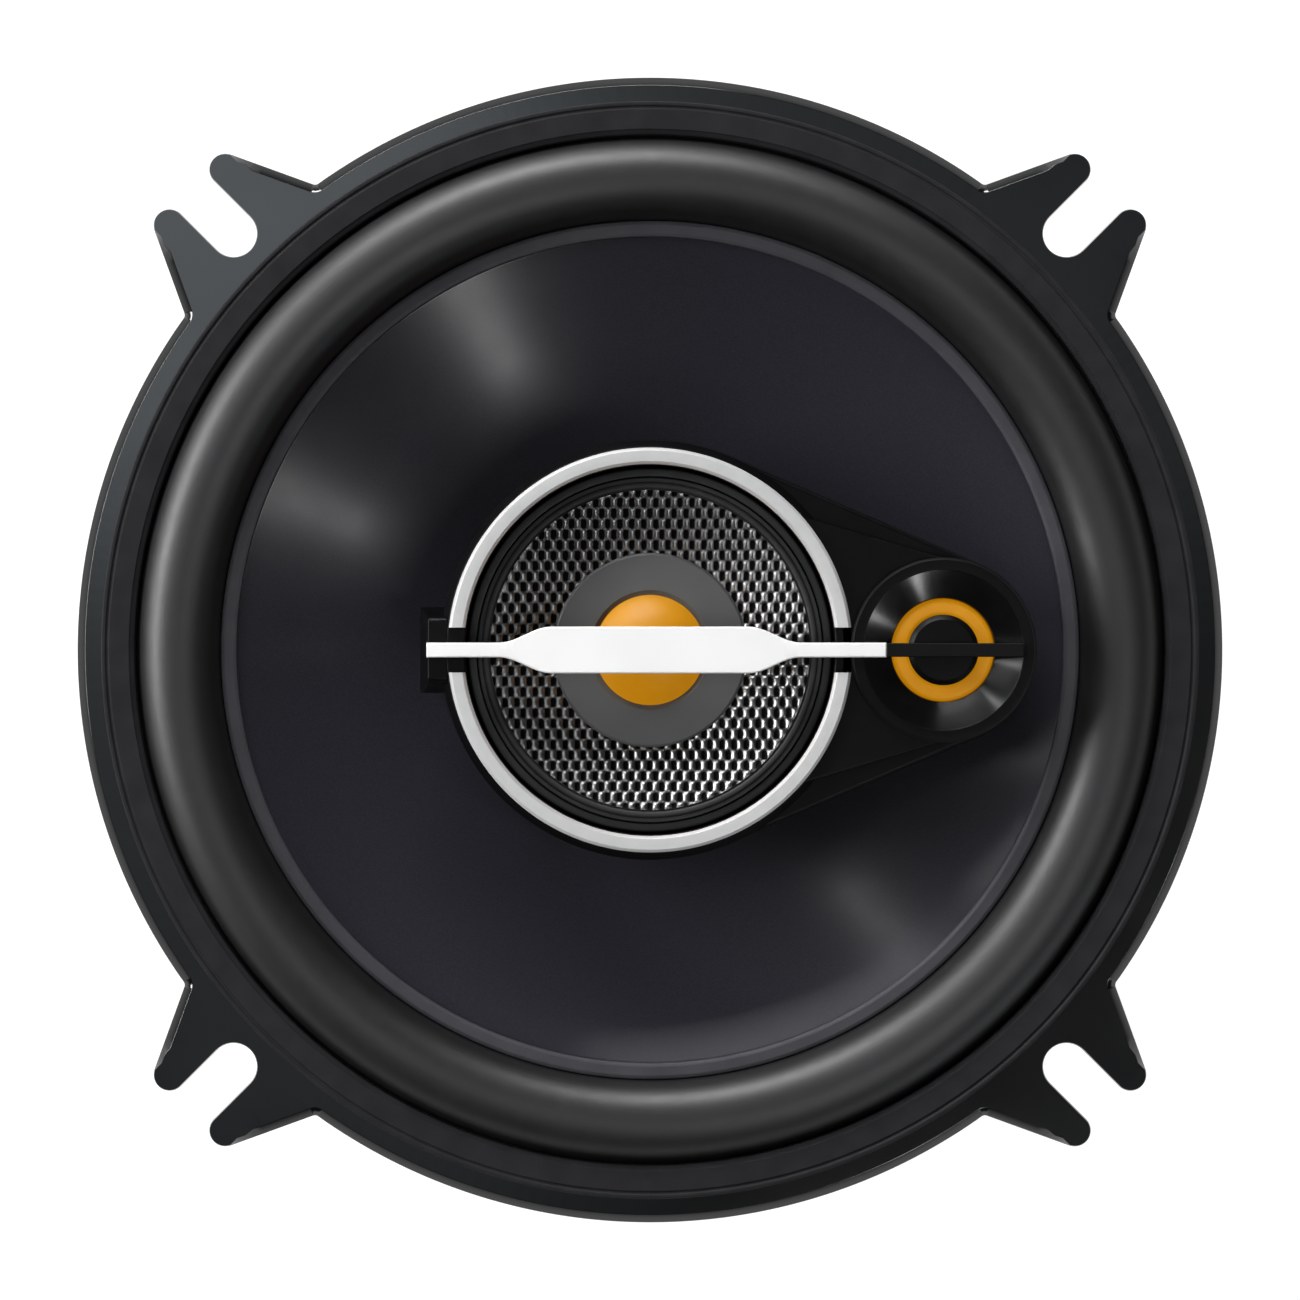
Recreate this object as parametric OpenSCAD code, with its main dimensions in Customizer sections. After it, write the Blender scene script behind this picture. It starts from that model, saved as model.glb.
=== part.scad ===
// Coaxial car speaker: a round pressed frame with four slotted ears, a cone
// driver, and a bridged pod that holds a tweeter and a super tweeter.
// +Z points out of the face. The origin is the centre of the mounting plane,
// the flat rear face of the flange. Sizes are in mm.

/* [Frame] */
// outside diameter of the round flange
flange_d = 134; // [120:1:160]
// thickness of the pressed sheet
sheet_t = 1.2; // [0.8:0.1:2]
// width of the bevel round the front edge of the flange
rim_bevel = 1; // [0.2:0.1:2]
// diameter of the wall that drops through the panel cut-out
spigot_d = 116; // [110:1:118]
// depth of that wall behind the mounting plane
spigot_h = 7; // [4:0.5:10]
// radius of the outer edge of the basket windows
window_r_out = 55; // [52:0.5:56]
// radius of the inner edge of the basket windows
window_r_in = 41.5; // [41:0.5:46]
// half width of a spoke at its inner end
spoke_half_in = 6; // [4:0.5:10]
// half width of a spoke at its outer end
spoke_half_out = 10.5; // [6:0.5:14]

/* [Ears] */
// radius the ears reach to
ear_reach = 76.8; // [74:0.1:80]
// half width of an ear where it leaves the flange
ear_root_half = 10.8; // [9:0.1:13]
// radius of the rounded end of each prong
prong_tip_r = 1.9; // [1:0.1:2.5]
// width of the open screw slot
slot_w = 5.4; // [4:0.1:6.5]
// radius of the circle the slot seats lie on
slot_seat = 68.9; // [67:0.1:71]

/* [Motor] */
// diameter of the front plate
plate_d = 72; // [66:1:78]
// thickness of the front plate
plate_t = 4.5; // [3:0.5:6]
// diameter of the ring magnet
magnet_d = 78; // [70:1:84]
// thickness of the ring magnet
magnet_t = 13; // [8:1:18]
// thickness of the back plate
yoke_t = 5; // [4:0.5:8]
// radius of the pole
pole_r = 12; // [10:0.1:14]
// radius of the hole in the front plate round the coil
gap_r = 14; // [12:0.1:16]

/* [Cone driver] */
// radius of the cone's rim, where the flat lip begins
cone_r = 48.2; // [44:0.1:49]
// radius of the roll edge where it meets the cone lip
roll_r_in = 50.2; // [46:0.1:52]
// radius of the roll edge where it meets the flange
roll_r_out = 60; // [56:0.1:61]
// thickness of the cone
cone_t = 0.6; // [0.3:0.1:1]
// inside radius of the coil former
former_r = 12.45; // [10:0.05:15]
// number of waves in the spider
spider_waves = 5; // [2:1:8]

/* [Pod] */
// radius of the tweeter housing
pod_r = 24.3; // [20:0.1:28]
// radius of the super tweeter's end of the housing
arm_r = 10.9; // [9:0.1:13]
// distance from the axis to the super tweeter's centre
arm_x = 33.9; // [30:0.1:36]
// height of the housing's front face over the mounting plane
pod_top = 10.6; // [9:0.1:14]
// half length of the white name bar to the left
bar_x_left = 25.8; // [20:0.1:28]
// half length of the white name bar to the right
bar_x_right = 27.3; // [20:0.1:30]

/* [Hidden] */
$fn = 96;

// colours
c_paint = [0.06, 0.06, 0.065];
c_rubber = [0.12, 0.12, 0.13];
c_poly = [0.16, 0.155, 0.175];
c_steel = [0.66, 0.67, 0.68];
c_silver = [0.78, 0.78, 0.78];
c_ferrite = [0.2, 0.2, 0.21];
c_copper = [0.72, 0.4, 0.2];
c_gold = [0.77, 0.52, 0.1];
c_black = [0.05, 0.05, 0.055];
c_grey = [0.3, 0.3, 0.3];
c_white = [0.95, 0.95, 0.95];
c_cloth = [0.75, 0.6, 0.3];
c_board = [0.42, 0.25, 0.12];
c_brass = [0.8, 0.65, 0.3];

// frame levels, measured from the mounting plane
flange_r = flange_d / 2;
spigot_r = spigot_d / 2;
ledge_r = 40.5;
ledge_z = -18.5;
cup_r_top = 32;
cup_r = 30.5;
floor_z = -23.5;
floor_hole_r = 16;
shell_drop = (-spigot_h - ledge_z) / (spigot_r - ledge_r);
shell_lift = sheet_t * sqrt(1 + shell_drop * shell_drop);

// motor levels
magnet_z = floor_z - plate_t - magnet_t;
back_z = magnet_z - yoke_t;
pole_z = floor_z + 0.7;
nut_seat_z = back_z + 5.6;
nut_t = 4;
stud_r = 4.5;
wire_bore_r = 2.2;
groove_w = 3;
groove_h = 1.8;

// cone driver levels
land_t = 0.5;
lip_z = sheet_t;
neck_z = -13.6;
neck_end_z = -16;
former_t = 0.2;
former_out = former_r + former_t;
coil_t = 0.65;
former_top = -11.5;
former_end = -31;
roll_mid = (roll_r_in + roll_r_out) / 2;
roll_r = (roll_r_out - roll_r_in) / 2;
gasket_r = 64;
gasket_h = 2.3;
spider_t = 0.5;
spider_z = ledge_z + sheet_t;
spider_in = 15;
spider_out = 32.6;
spider_wave_h = 1.5;
spider_pitch = (spider_out - spider_in) / spider_waves;

// pod levels
pod_floor_z = -5;
pod_floor_t = 2.4;
pod_in = pod_floor_z + pod_floor_t;
pod_bore = 21.4;
arm_z = 4.2;
shoulder_z = 9.4;
post_r = 7;
socket_r = 9.5;
socket_h = 3.5;
plateau_r = 19.75;
plateau_end_r = 10.2;
trim_in = 21.5;
trim_out = 23.4;
trim_t = 0.9;
trim_gap = 5.2;
horn_face = pod_top + 1;
bar_top = pod_top + 1.8;

// tweeter levels
disc_z = 4.9;
disc_t = 0.45;
land_z = 7.4;
dome_r = 6.55;
dome_h = 3;

// terminal board, in the frame of the spoke at -45 degrees
board_angle = -45;
tab_u = 45.4;
board_u = tab_u + sheet_t;
board_t = 1.6;
blade_u = board_u + board_t;
blade_t = 0.8;
blade_v = 7.2;
board_rivet_z = [-20, -25.4];

function ball_r(base, rise) = (base * base + rise * rise) / (2 * rise);
function ease(t) = (1 - cos(180 * t)) / 2;

module turned(points) {
    rotate_extrude() polygon(points);
}

module ring(r_out, r_in, z0, z1) {
    translate([0, 0, z0]) difference() {
        cylinder(r = r_out, h = z1 - z0);
        translate([0, 0, -1]) cylinder(r = r_in, h = z1 - z0 + 2);
    }
}

module disc(r, z0, z1) {
    translate([0, 0, z0]) cylinder(r = r, h = z1 - z0);
}

module block(low, high) {
    translate(low) cube(high - low);
}

// a round bar from point p to point q
module rod(p, q, r) {
    d = q - p;
    l = norm(d);
    translate(p)
        rotate([0, acos(d[2] / l), atan2(d[1], d[0])])
            cylinder(r = r, h = l, $fn = 24);
}

// a wire through the listed points, with a ball at each bend
module wire(points, r) {
    for (i = [0 : len(points) - 2]) rod(points[i], points[i + 1], r);
    for (i = [1 : len(points) - 2]) translate(points[i]) sphere(r = 1.1 * r, $fn = 24);
}

// a point given in the frame of the spoke that carries the terminal board
function at_board(u, v, z) = [
    u * cos(board_angle) - v * sin(board_angle),
    u * sin(board_angle) + v * cos(board_angle),
    z,
];

// the outline of two circles and the two straight lines that touch both
module pod_outline(r_big, r_small, reach) {
    a = acos((r_big - r_small) / reach);
    circle(r = r_big);
    translate([reach, 0]) circle(r = r_small);
    polygon([
        [r_big * cos(a), -r_big * sin(a)],
        [reach + r_small * cos(a), -r_small * sin(a)],
        [reach + r_small * cos(a), r_small * sin(a)],
        [r_big * cos(a), r_big * sin(a)],
    ]);
}

// a thin dome: the shell of a ball cut off at its base
module dome(base, rise, thick, z) {
    big = ball_r(base, rise);
    translate([0, 0, z]) difference() {
        intersection() {
            translate([0, 0, rise - big]) sphere(r = big);
            cylinder(r = base + 1, h = rise + 1);
        }
        translate([0, 0, rise - big]) sphere(r = big - thick);
    }
}

module at_spokes() {
    for (a = [45 : 90 : 315]) rotate([0, 0, a]) children();
}

// a plate for one ear, with a rounded prong on each side of its slot
module ear() {
    tip_u = ear_reach - prong_tip_r;
    tip_v = slot_w / 2 + prong_tip_r;
    root_u = sqrt(flange_r * flange_r - ear_root_half * ear_root_half) - 0.1;
    du = tip_u - root_u;
    dv = tip_v - ear_root_half;
    flank = atan2(dv, du) + asin(prong_tip_r / sqrt(du * du + dv * dv));
    bends = [for (i = [0 : 10]) flank + 90 - i * (flank + 170) / 10];
    linear_extrude(height = sheet_t) polygon(concat(
        [[spigot_r + 2, ear_root_half], [root_u, ear_root_half]],
        [for (a = bends) [tip_u + prong_tip_r * cos(a), tip_v + prong_tip_r * sin(a)]],
        [for (i = [10 : -1 : 0])
            [tip_u + prong_tip_r * cos(bends[i]), -tip_v - prong_tip_r * sin(bends[i])]],
        [[root_u, -ear_root_half], [spigot_r + 2, -ear_root_half]]
    ));
}

module slot() {
    translate([slot_seat, 0, -1]) cylinder(d = slot_w, h = sheet_t + 2);
    block([slot_seat, -slot_w / 2, -1], [ear_reach + 2, slot_w / 2, sheet_t + 1]);
}

module spoke_bar(half_in, half_out) {
    translate([0, 0, floor_z - 5]) linear_extrude(height = 40) polygon([
        [window_r_in - 4, -half_in],
        [window_r_out + 3, -half_out],
        [window_r_out + 3, half_out],
        [window_r_in - 4, half_in],
    ]);
}

// the pressed shell: flange, spigot wall, sloping skirt, ledge and cup
module shell() {
    skirt_top = -spigot_h + shell_lift - sheet_t * shell_drop;
    turned([
        [flange_r, 0],
        [flange_r, sheet_t * 0.35],
        [flange_r - rim_bevel, sheet_t],
        [spigot_r - sheet_t, sheet_t],
        [spigot_r - sheet_t, skirt_top],
        [ledge_r - (shell_lift - sheet_t) / shell_drop, spider_z],
        [cup_r_top - sheet_t + 0.3, spider_z],
        [cup_r - sheet_t + 0.3, floor_z + sheet_t],
        [floor_hole_r, floor_z + sheet_t],
        [floor_hole_r, floor_z],
        [cup_r, floor_z],
        [cup_r_top, ledge_z],
        [ledge_r, ledge_z],
        [spigot_r, -spigot_h],
        [spigot_r, 0],
    ]);
}

// a pressed rib that stands out behind each spoke
module spoke_ribs() {
    intersection() {
        turned([
            [spigot_r - 1, -spigot_h - shell_drop],
            [ledge_r + 0.5, ledge_z + 0.5 * shell_drop],
            [ledge_r + 0.5, ledge_z + 0.5 * shell_drop - 1.6],
            [spigot_r - 1, -spigot_h - shell_drop - 1.6],
        ]);
        at_spokes() spoke_bar(1.6, 2.6);
    }
}

module basket() {
    color(c_paint) difference() {
        union() {
            difference() {
                shell();
                difference() {
                    ring(window_r_out, window_r_in, floor_z, -spigot_h + 6);
                    at_spokes() spoke_bar(spoke_half_in, spoke_half_out);
                }
            }
            spoke_ribs();
            at_spokes() ear();
            rotate([0, 0, board_angle]) block([tab_u, -4.5, -28], [board_u, 4.5, -13.9]);
        }
        at_spokes() slot();
        for (a = [0 : 90 : 270]) rotate([0, 0, a])
            translate([24, 0, floor_z - 1]) cylinder(r = 1.5, h = 4);
        rotate([0, 0, board_angle])
            for (z = board_rivet_z) translate([tab_u - 1, 0, z])
                rotate([0, 90, 0]) cylinder(r = 1.4, h = 4);
    }
}

module gasket() {
    color(c_rubber) turned([
        [roll_r_out + 0.1, sheet_t + land_t],
        [gasket_r, sheet_t + land_t],
        [gasket_r, sheet_t + land_t + gasket_h - 0.5],
        [gasket_r - 0.5, sheet_t + land_t + gasket_h],
        [roll_r_out + 0.6, sheet_t + land_t + gasket_h],
        [roll_r_out + 0.1, sheet_t + land_t + gasket_h - 0.5],
    ]);
}

module surround() {
    color(c_rubber) rotate_extrude() {
        difference() {
            translate([roll_mid, lip_z]) circle(r = roll_r);
            translate([roll_mid, lip_z]) circle(r = roll_r - land_t);
            translate([0, lip_z - 20]) square([100, 20]);
        }
        translate([cone_r + 0.1, lip_z]) square([roll_r_in + 0.3 - cone_r - 0.1, land_t]);
        translate([roll_r_out - 0.3, lip_z]) square([gasket_r - 0.2 - roll_r_out + 0.3, land_t]);
    }
}

module edge_ring() {
    color(c_poly) turned([
        [cone_r, lip_z + land_t],
        [roll_r_in, lip_z + land_t],
        [roll_r_in - 0.2, lip_z + land_t + 0.6],
        [cone_r + 0.2, lip_z + land_t + 0.6],
    ]);
}

module cone() {
    slope = (lip_z - neck_z) / (cone_r - former_out - 0.7);
    color(c_poly) turned([
        [roll_r_in, lip_z],
        [cone_r, lip_z],
        [former_out + 0.7, neck_z],
        [former_out, neck_z],
        [former_out, neck_end_z],
        [former_out + 0.6, neck_end_z],
        [former_out + 0.6, neck_z - 1],
        [cone_r + 0.4, lip_z - cone_t],
        [roll_r_in, lip_z - cone_t],
    ]);
}

module coil_former() {
    color(c_cloth) ring(former_out, former_r, former_end, former_top);
}

module voice_coil() {
    color(c_copper) ring(former_out + coil_t, former_out, former_end + 0.5, former_end + 10);
}

module spider() {
    waves = [
        for (i = [0 : 2 * spider_waves])
            [spider_in + i * spider_pitch / 2, i % 2 == 0 ? 0 : spider_wave_h]
    ];
    n = len(waves);
    color(c_cloth) translate([0, 0, spider_z]) turned(concat(
        [[former_out, 0]],
        [for (p = waves) [p[0], p[1]]],
        [[ledge_r - 2, 0], [ledge_r - 2, spider_t]],
        [for (i = [n - 1 : -1 : 0]) [waves[i][0], waves[i][1] + spider_t]],
        [[former_out, spider_t]]
    ));
}

module top_plate() {
    color(c_steel) difference() {
        turned([
            [gap_r, floor_z],
            [plate_d / 2 - 0.6, floor_z],
            [plate_d / 2, floor_z - 0.6],
            [plate_d / 2, floor_z - plate_t + 0.6],
            [plate_d / 2 - 0.6, floor_z - plate_t],
            [gap_r, floor_z - plate_t],
        ]);
        for (a = [0 : 90 : 270]) rotate([0, 0, a])
            translate([24, 0, floor_z - plate_t - 1]) cylinder(r = 1.5, h = plate_t + 2);
    }
}

module basket_rivets() {
    color(c_steel) for (a = [0 : 90 : 270]) rotate([0, 0, a]) translate([24, 0, 0]) {
        translate([0, 0, floor_z - plate_t]) cylinder(r = 1.5, h = plate_t + sheet_t);
        translate([0, 0, floor_z + sheet_t]) cylinder(r1 = 2.6, r2 = 1.8, h = 0.7);
    }
}

module magnet_ring() {
    color(c_ferrite) turned([
        [18, magnet_z],
        [magnet_d / 2 - 1, magnet_z],
        [magnet_d / 2, magnet_z + 1],
        [magnet_d / 2, magnet_z + magnet_t - 1],
        [magnet_d / 2 - 1, magnet_z + magnet_t],
        [18, magnet_z + magnet_t],
    ]);
}

module back_yoke() {
    color(c_steel) difference() {
        turned([
            [stud_r + 0.2, pole_z],
            [pole_r - 0.6, pole_z],
            [pole_r, pole_z - 0.6],
            [pole_r, magnet_z],
            [plate_d / 2 - 0.4, magnet_z],
            [plate_d / 2, magnet_z - 0.4],
            [plate_d / 2, back_z + 1.2],
            [plate_d / 2 - 1.2, back_z],
            [9, back_z],
            [9, nut_seat_z],
            [stud_r + 0.2, nut_seat_z],
        ]);
        rotate([0, 0, board_angle])
            block([0, -groove_w / 2, back_z - 1], [50, groove_w / 2, back_z + groove_h]);
    }
}

module tweeter_post() {
    color(c_silver) turned([
        [wire_bore_r, nut_seat_z - nut_t],
        [stud_r - 0.4, nut_seat_z - nut_t],
        [stud_r, nut_seat_z - nut_t + 0.4],
        [stud_r, pole_z],
        [10, pole_z],
        [10, pole_z + 1.6],
        [post_r, pole_z + 3.4],
        [post_r, pod_floor_z],
        [wire_bore_r, pod_floor_z],
    ]);
}

module post_nut() {
    color(c_steel) difference() {
        disc(7.5, nut_seat_z - nut_t, nut_seat_z, $fn = 6);
        disc(stud_r, nut_seat_z - nut_t - 1, nut_seat_z + 1);
    }
}

module terminal_board() {
    color(c_board) rotate([0, 0, board_angle]) difference() {
        block([board_u, -11, -29.5], [blade_u, 19.5, -16.4]);
        for (z = board_rivet_z) translate([tab_u, 0, z])
            rotate([0, 90, 0]) cylinder(r = 1.4, h = 8);
        for (v = [-blade_v, blade_v]) translate([tab_u, v, -21])
            rotate([0, 90, 0]) cylinder(r = 1.3, h = 8);
    }
}

module board_rivets() {
    color(c_steel) rotate([0, 0, board_angle]) for (z = board_rivet_z) translate([tab_u, 0, z])
        rotate([0, 90, 0]) {
            cylinder(r = 1.4, h = sheet_t + board_t);
            translate([0, 0, -0.7]) cylinder(r = 2.1, h = 0.7);
            translate([0, 0, sheet_t + board_t]) cylinder(r1 = 2.5, r2 = 1.7, h = 0.8);
        }
}

// a spade blade with its solder lug, riveted to the board
module blade(v, half) {
    color(c_brass) rotate([0, 0, board_angle]) difference() {
        union() {
            block([blade_u, v - half, -36.6], [blade_u + blade_t, v + half, -18.2]);
            block([blade_u, v - half + 0.8, -38], [blade_u + blade_t, v + half - 0.8, -36.6]);
            block([blade_u, v - 1.5, -18.2], [blade_u + blade_t, v + 1.5, -15.4]);
        }
        translate([blade_u - 1, v, -21]) rotate([0, 90, 0]) cylinder(r = 1.3, h = 4);
        translate([blade_u - 1, v, -34]) rotate([0, 90, 0]) cylinder(r = 0.8, h = 4);
    }
}

module positive_terminal() {
    blade(blade_v, 3.15);
}

module negative_terminal() {
    blade(-blade_v, 2.4);
}

module terminal_rivets() {
    color(c_brass) rotate([0, 0, board_angle]) for (v = [-blade_v, blade_v])
        translate([board_u, v, -21]) rotate([0, 90, 0]) {
            cylinder(r = 1.3, h = board_t + blade_t);
            translate([0, 0, -0.6]) cylinder(r = 2, h = 0.6);
            translate([0, 0, board_t + blade_t]) cylinder(r1 = 2.1, r2 = 1.6, h = 0.6);
        }
}

module capacitor() {
    color(c_black) rotate([0, 0, board_angle]) translate([blade_u + 3.3, 15.2, 0]) turned([
        [0, -29],
        [2.7, -29],
        [3.3, -28.4],
        [3.3, -17.6],
        [2.7, -17],
        [0, -17],
    ]);
}

module capacitor_leads() {
    u = blade_u + 3.3;
    color(c_steel) rotate([0, 0, board_angle]) {
        wire([[u, 15.2, -17], [u, 15.2, -15], [u - 2.2, 12, -15], [blade_u + 1.2, 9, -16.6]], 0.35);
        wire([[u, 15.2, -29], [u, 15.2, -30.6], [board_u - 0.6, 15.2, -30.6]], 0.35);
    }
}

module tinsel_leads() {
    color(c_copper) rotate([0, 0, board_angle]) for (s = [-1, 1]) wire([
        [blade_u + 0.4, s * blade_v, -14.6],
        [48.4, s * 10.6, -12.6],
        [45.5, s * 12, -10.6],
        [40, s * 11.5, -9.4],
        [35, s * 9.5, -8],
        [32.5, s * 8.6, -6.9],
    ], 0.5);
}

module tweeter_leads() {
    low = back_z + 0.8;
    top = pod_in - 0.8;
    side = magnet_d / 2 + 1;
    ends = [
        [at_board(board_u - 1.2, -6, -26), at_board(board_u - 1.1, -blade_v, -21.4)],
        [at_board(board_u - 1.8, 12, -31.6), at_board(board_u - 0.9, 15.2, -31.4)],
    ];
    color(c_black) for (i = [0, 1]) {
        v = i * 1.4 - 0.7;
        wire(concat([
            [12.2, v, 2.4],
            [12.2, v, top],
            at_board(0, v, top),
            at_board(0, v, low),
            at_board(side, v, low),
            at_board(side, v, -32.5),
        ], ends[i]), 0.42);
    }
}

module pod_housing() {
    color(c_black) difference() {
        union() {
            turned([
                [wire_bore_r + 0.4, pod_in],
                [wire_bore_r + 0.4, pod_floor_z],
                [post_r + 0.05, pod_floor_z],
                [post_r + 0.05, pod_floor_z - socket_h],
                [socket_r, pod_floor_z - socket_h],
                [socket_r, pod_floor_z],
                [19.5, pod_floor_z],
                [22.6, -2.5],
                [pod_r, 2],
                [pod_r, shoulder_z],
                [pod_r - 0.8, pod_top],
                [pod_bore, pod_top],
                [pod_bore, pod_in],
            ]);
            difference() {
                union() {
                    translate([0, 0, arm_z]) linear_extrude(height = shoulder_z - arm_z)
                        pod_outline(pod_r, arm_r, arm_x);
                    translate([0, 0, shoulder_z]) linear_extrude(height = pod_top - shoulder_z)
                        pod_outline(plateau_r, plateau_end_r, arm_x);
                }
                disc(pod_bore, pod_in, 20);
            }
            tab();
        }
        translate([arm_x, 0, 5]) cylinder(r = 8.85, h = 20);
        block([pod_bore - 1.5, -1.5, 5.2], [arm_x - 8, 1.5, 6.8]);
        block([0, -1.3, pod_in - 1.5], [13.4, 1.3, pod_in + 1]);
    }
}

// the sloping tab on the left of the housing, under the end of the name bar
module tab() {
    low = 5;
    intersection() {
        rotate([90, 0, 0]) translate([0, 0, -8]) linear_extrude(height = 16) polygon([
            [-bar_x_left - 1.1, low],
            [-bar_x_left + 0.1, pod_top],
            [-pod_r + 1.2, pod_top],
            [-pod_r + 1.2, low],
        ]);
        rotate([90, 0, 90]) translate([0, 0, -30]) linear_extrude(height = 20) polygon([
            [-5.2, low],
            [5.2, low],
            [3.6, pod_top],
            [-3.6, pod_top],
        ]);
    }
}

module trim(side) {
    color(c_silver) intersection() {
        turned([
            [trim_in, pod_top],
            [trim_out, pod_top],
            [trim_out - 0.3, pod_top + trim_t],
            [trim_in + 0.3, pod_top + trim_t],
        ]);
        scale([1, side, 1]) block([-30, trim_gap / 2, pod_top - 1], [30, 30, pod_top + 5]);
    }
}

module upper_trim() {
    trim(1);
}

module lower_trim() {
    trim(-1);
}

module name_bar() {
    thin = 0.85;
    wide = 2.7;
    steps = 8;
    function half_h(x) = thin + (wide - thin) * ease(min(1, max(0, (17.5 - abs(x)) / 6.2)));
    xs = concat(
        [-bar_x_left],
        [for (i = [0 : steps]) -17.5 + 6.2 * i / steps],
        [for (i = [0 : steps]) 11.3 + 6.2 * i / steps],
        [bar_x_right]
    );
    n = len(xs);
    color(c_white) difference() {
        translate([0, 0, pod_top]) linear_extrude(height = bar_top - pod_top) polygon(concat(
            [for (x = xs) [x, half_h(x)]],
            [for (i = [n - 1 : -1 : 0]) [xs[i], -half_h(xs[i])]]
        ));
        block([arm_x - 11, -5, pod_top - 1], [arm_x, 5, horn_face + 0.05]);
    }
}

module cross_bar() {
    color(c_black) block([bar_x_right, -0.8, horn_face], [43.2, 0.8, bar_top]);
}

module tweeter_yoke() {
    color(c_steel) turned([
        [0, pod_in],
        [10.2, pod_in],
        [10.2, 2.9],
        [7.6, 2.9],
        [7.6, pod_in + 1.8],
        [0, pod_in + 1.8],
    ]);
}

module tweeter_magnet() {
    color(c_silver) disc(5.8, pod_in + 1.8, 1.6);
}

module tweeter_pole_plate() {
    color(c_steel) disc(5.8, 1.6, 2.9);
}

module tweeter_frame() {
    color(c_black) difference() {
        turned([
            [17.9, pod_in],
            [21.2, pod_in],
            [21.2, land_z],
            [19.3, land_z],
            [17.9, 5],
        ]);
        block([17, -1.5, 5.2], [22, 1.5, 6.8]);
    }
}

module tweeter_surround() {
    color(c_rubber) rotate_extrude() {
        difference() {
            translate([19.1, land_z + 0.1]) circle(r = 0.5);
            translate([19.1, land_z + 0.1]) circle(r = 0.2);
            translate([0, land_z - 20]) square([40, 20]);
        }
        translate([18.2, land_z]) square([0.6, 0.3]);
        translate([19.4, land_z]) square([0.6, 0.3]);
    }
}

module tweeter_cone() {
    color(c_poly) turned([
        [11.2, disc_z + disc_t],
        [11.8, disc_z + disc_t],
        [18.15, land_z + 0.3],
        [18.55, land_z + 0.3],
        [18.55, land_z + 0.65],
        [18.1, land_z + 0.65],
        [11.2, disc_z + disc_t + 0.25],
    ]);
}

module tweeter_disc() {
    color(c_grey) ring(11.8, 6.4, disc_z, disc_z + disc_t);
}

module tweeter_dome() {
    color(c_gold) dome(dome_r, dome_h, 0.35, disc_z + disc_t);
}

module tweeter_coil() {
    color(c_copper) {
        ring(6.4, 6.2, 0.4, disc_z + disc_t);
        ring(6.9, 6.4, 0.6, 3.2);
    }
}

module super_yoke() {
    color(c_steel) translate([arm_x, 0, 0]) turned([
        [0, 5],
        [6.7, 5],
        [6.7, 6.7],
        [5.8, 6.7],
        [5.8, 5.6],
        [0, 5.6],
    ]);
}

module super_magnet() {
    color(c_silver) translate([arm_x, 0, 0]) disc(4.4, 5.6, 6.8);
}

module super_coil() {
    color(c_copper) translate([arm_x, 0, 0]) ring(5.2, 4.9, 5.9, 7.2);
}

module super_dome() {
    color(c_gold) translate([arm_x, 0, 0]) {
        ring(7.2, 5.9, 7.2, 7.5);
        dome(6, 1.6, 0.3, 7.2);
    }
}

module super_horn() {
    color(c_black) translate([arm_x, 0, 0]) turned([
        [5.97, 7.8],
        [8.6, 7.8],
        [8.6, pod_top],
        [arm_r - 0.2, pod_top],
        [arm_r - 0.2, horn_face - 0.3],
        [arm_r - 0.5, horn_face],
        [8.7, horn_face],
        [5.97, 8.6],
    ]);
}

module super_plug() {
    color(c_black) translate([arm_x, 0, 0]) turned([
        [0, 9.3],
        [3.6, 9.3],
        [4.14, 9.8],
        [4.14, horn_face - 0.7],
        [3.4, horn_face],
        [0, horn_face],
    ]);
}

module super_leads() {
    color(c_black) for (s = [-1, 1]) wire([
        [13.4, s * 0.7, 2.4],
        [15.6, s * 0.7, 6],
        [26.6, s * 0.7, 6],
    ], 0.4);
}

basket();
gasket();
surround();
edge_ring();
cone();
coil_former();
voice_coil();
spider();
top_plate();
magnet_ring();
back_yoke();
basket_rivets();
tweeter_post();
post_nut();
terminal_board();
board_rivets();
positive_terminal();
negative_terminal();
terminal_rivets();
capacitor();
capacitor_leads();
tinsel_leads();
tweeter_leads();
pod_housing();
upper_trim();
lower_trim();
name_bar();
cross_bar();
tweeter_yoke();
tweeter_magnet();
tweeter_pole_plate();
tweeter_frame();
tweeter_surround();
tweeter_cone();
tweeter_disc();
tweeter_dome();
tweeter_coil();
super_yoke();
super_magnet();
super_coil();
super_dome();
super_horn();
super_plug();
super_leads();
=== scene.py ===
# The looks of the coaxial car speaker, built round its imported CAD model.
# Lengths in the functions below are in millimetres; add_mesh() turns them into metres.
import math

import bmesh
import bpy
import numpy as np
from mathutils import Matrix, Vector


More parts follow.
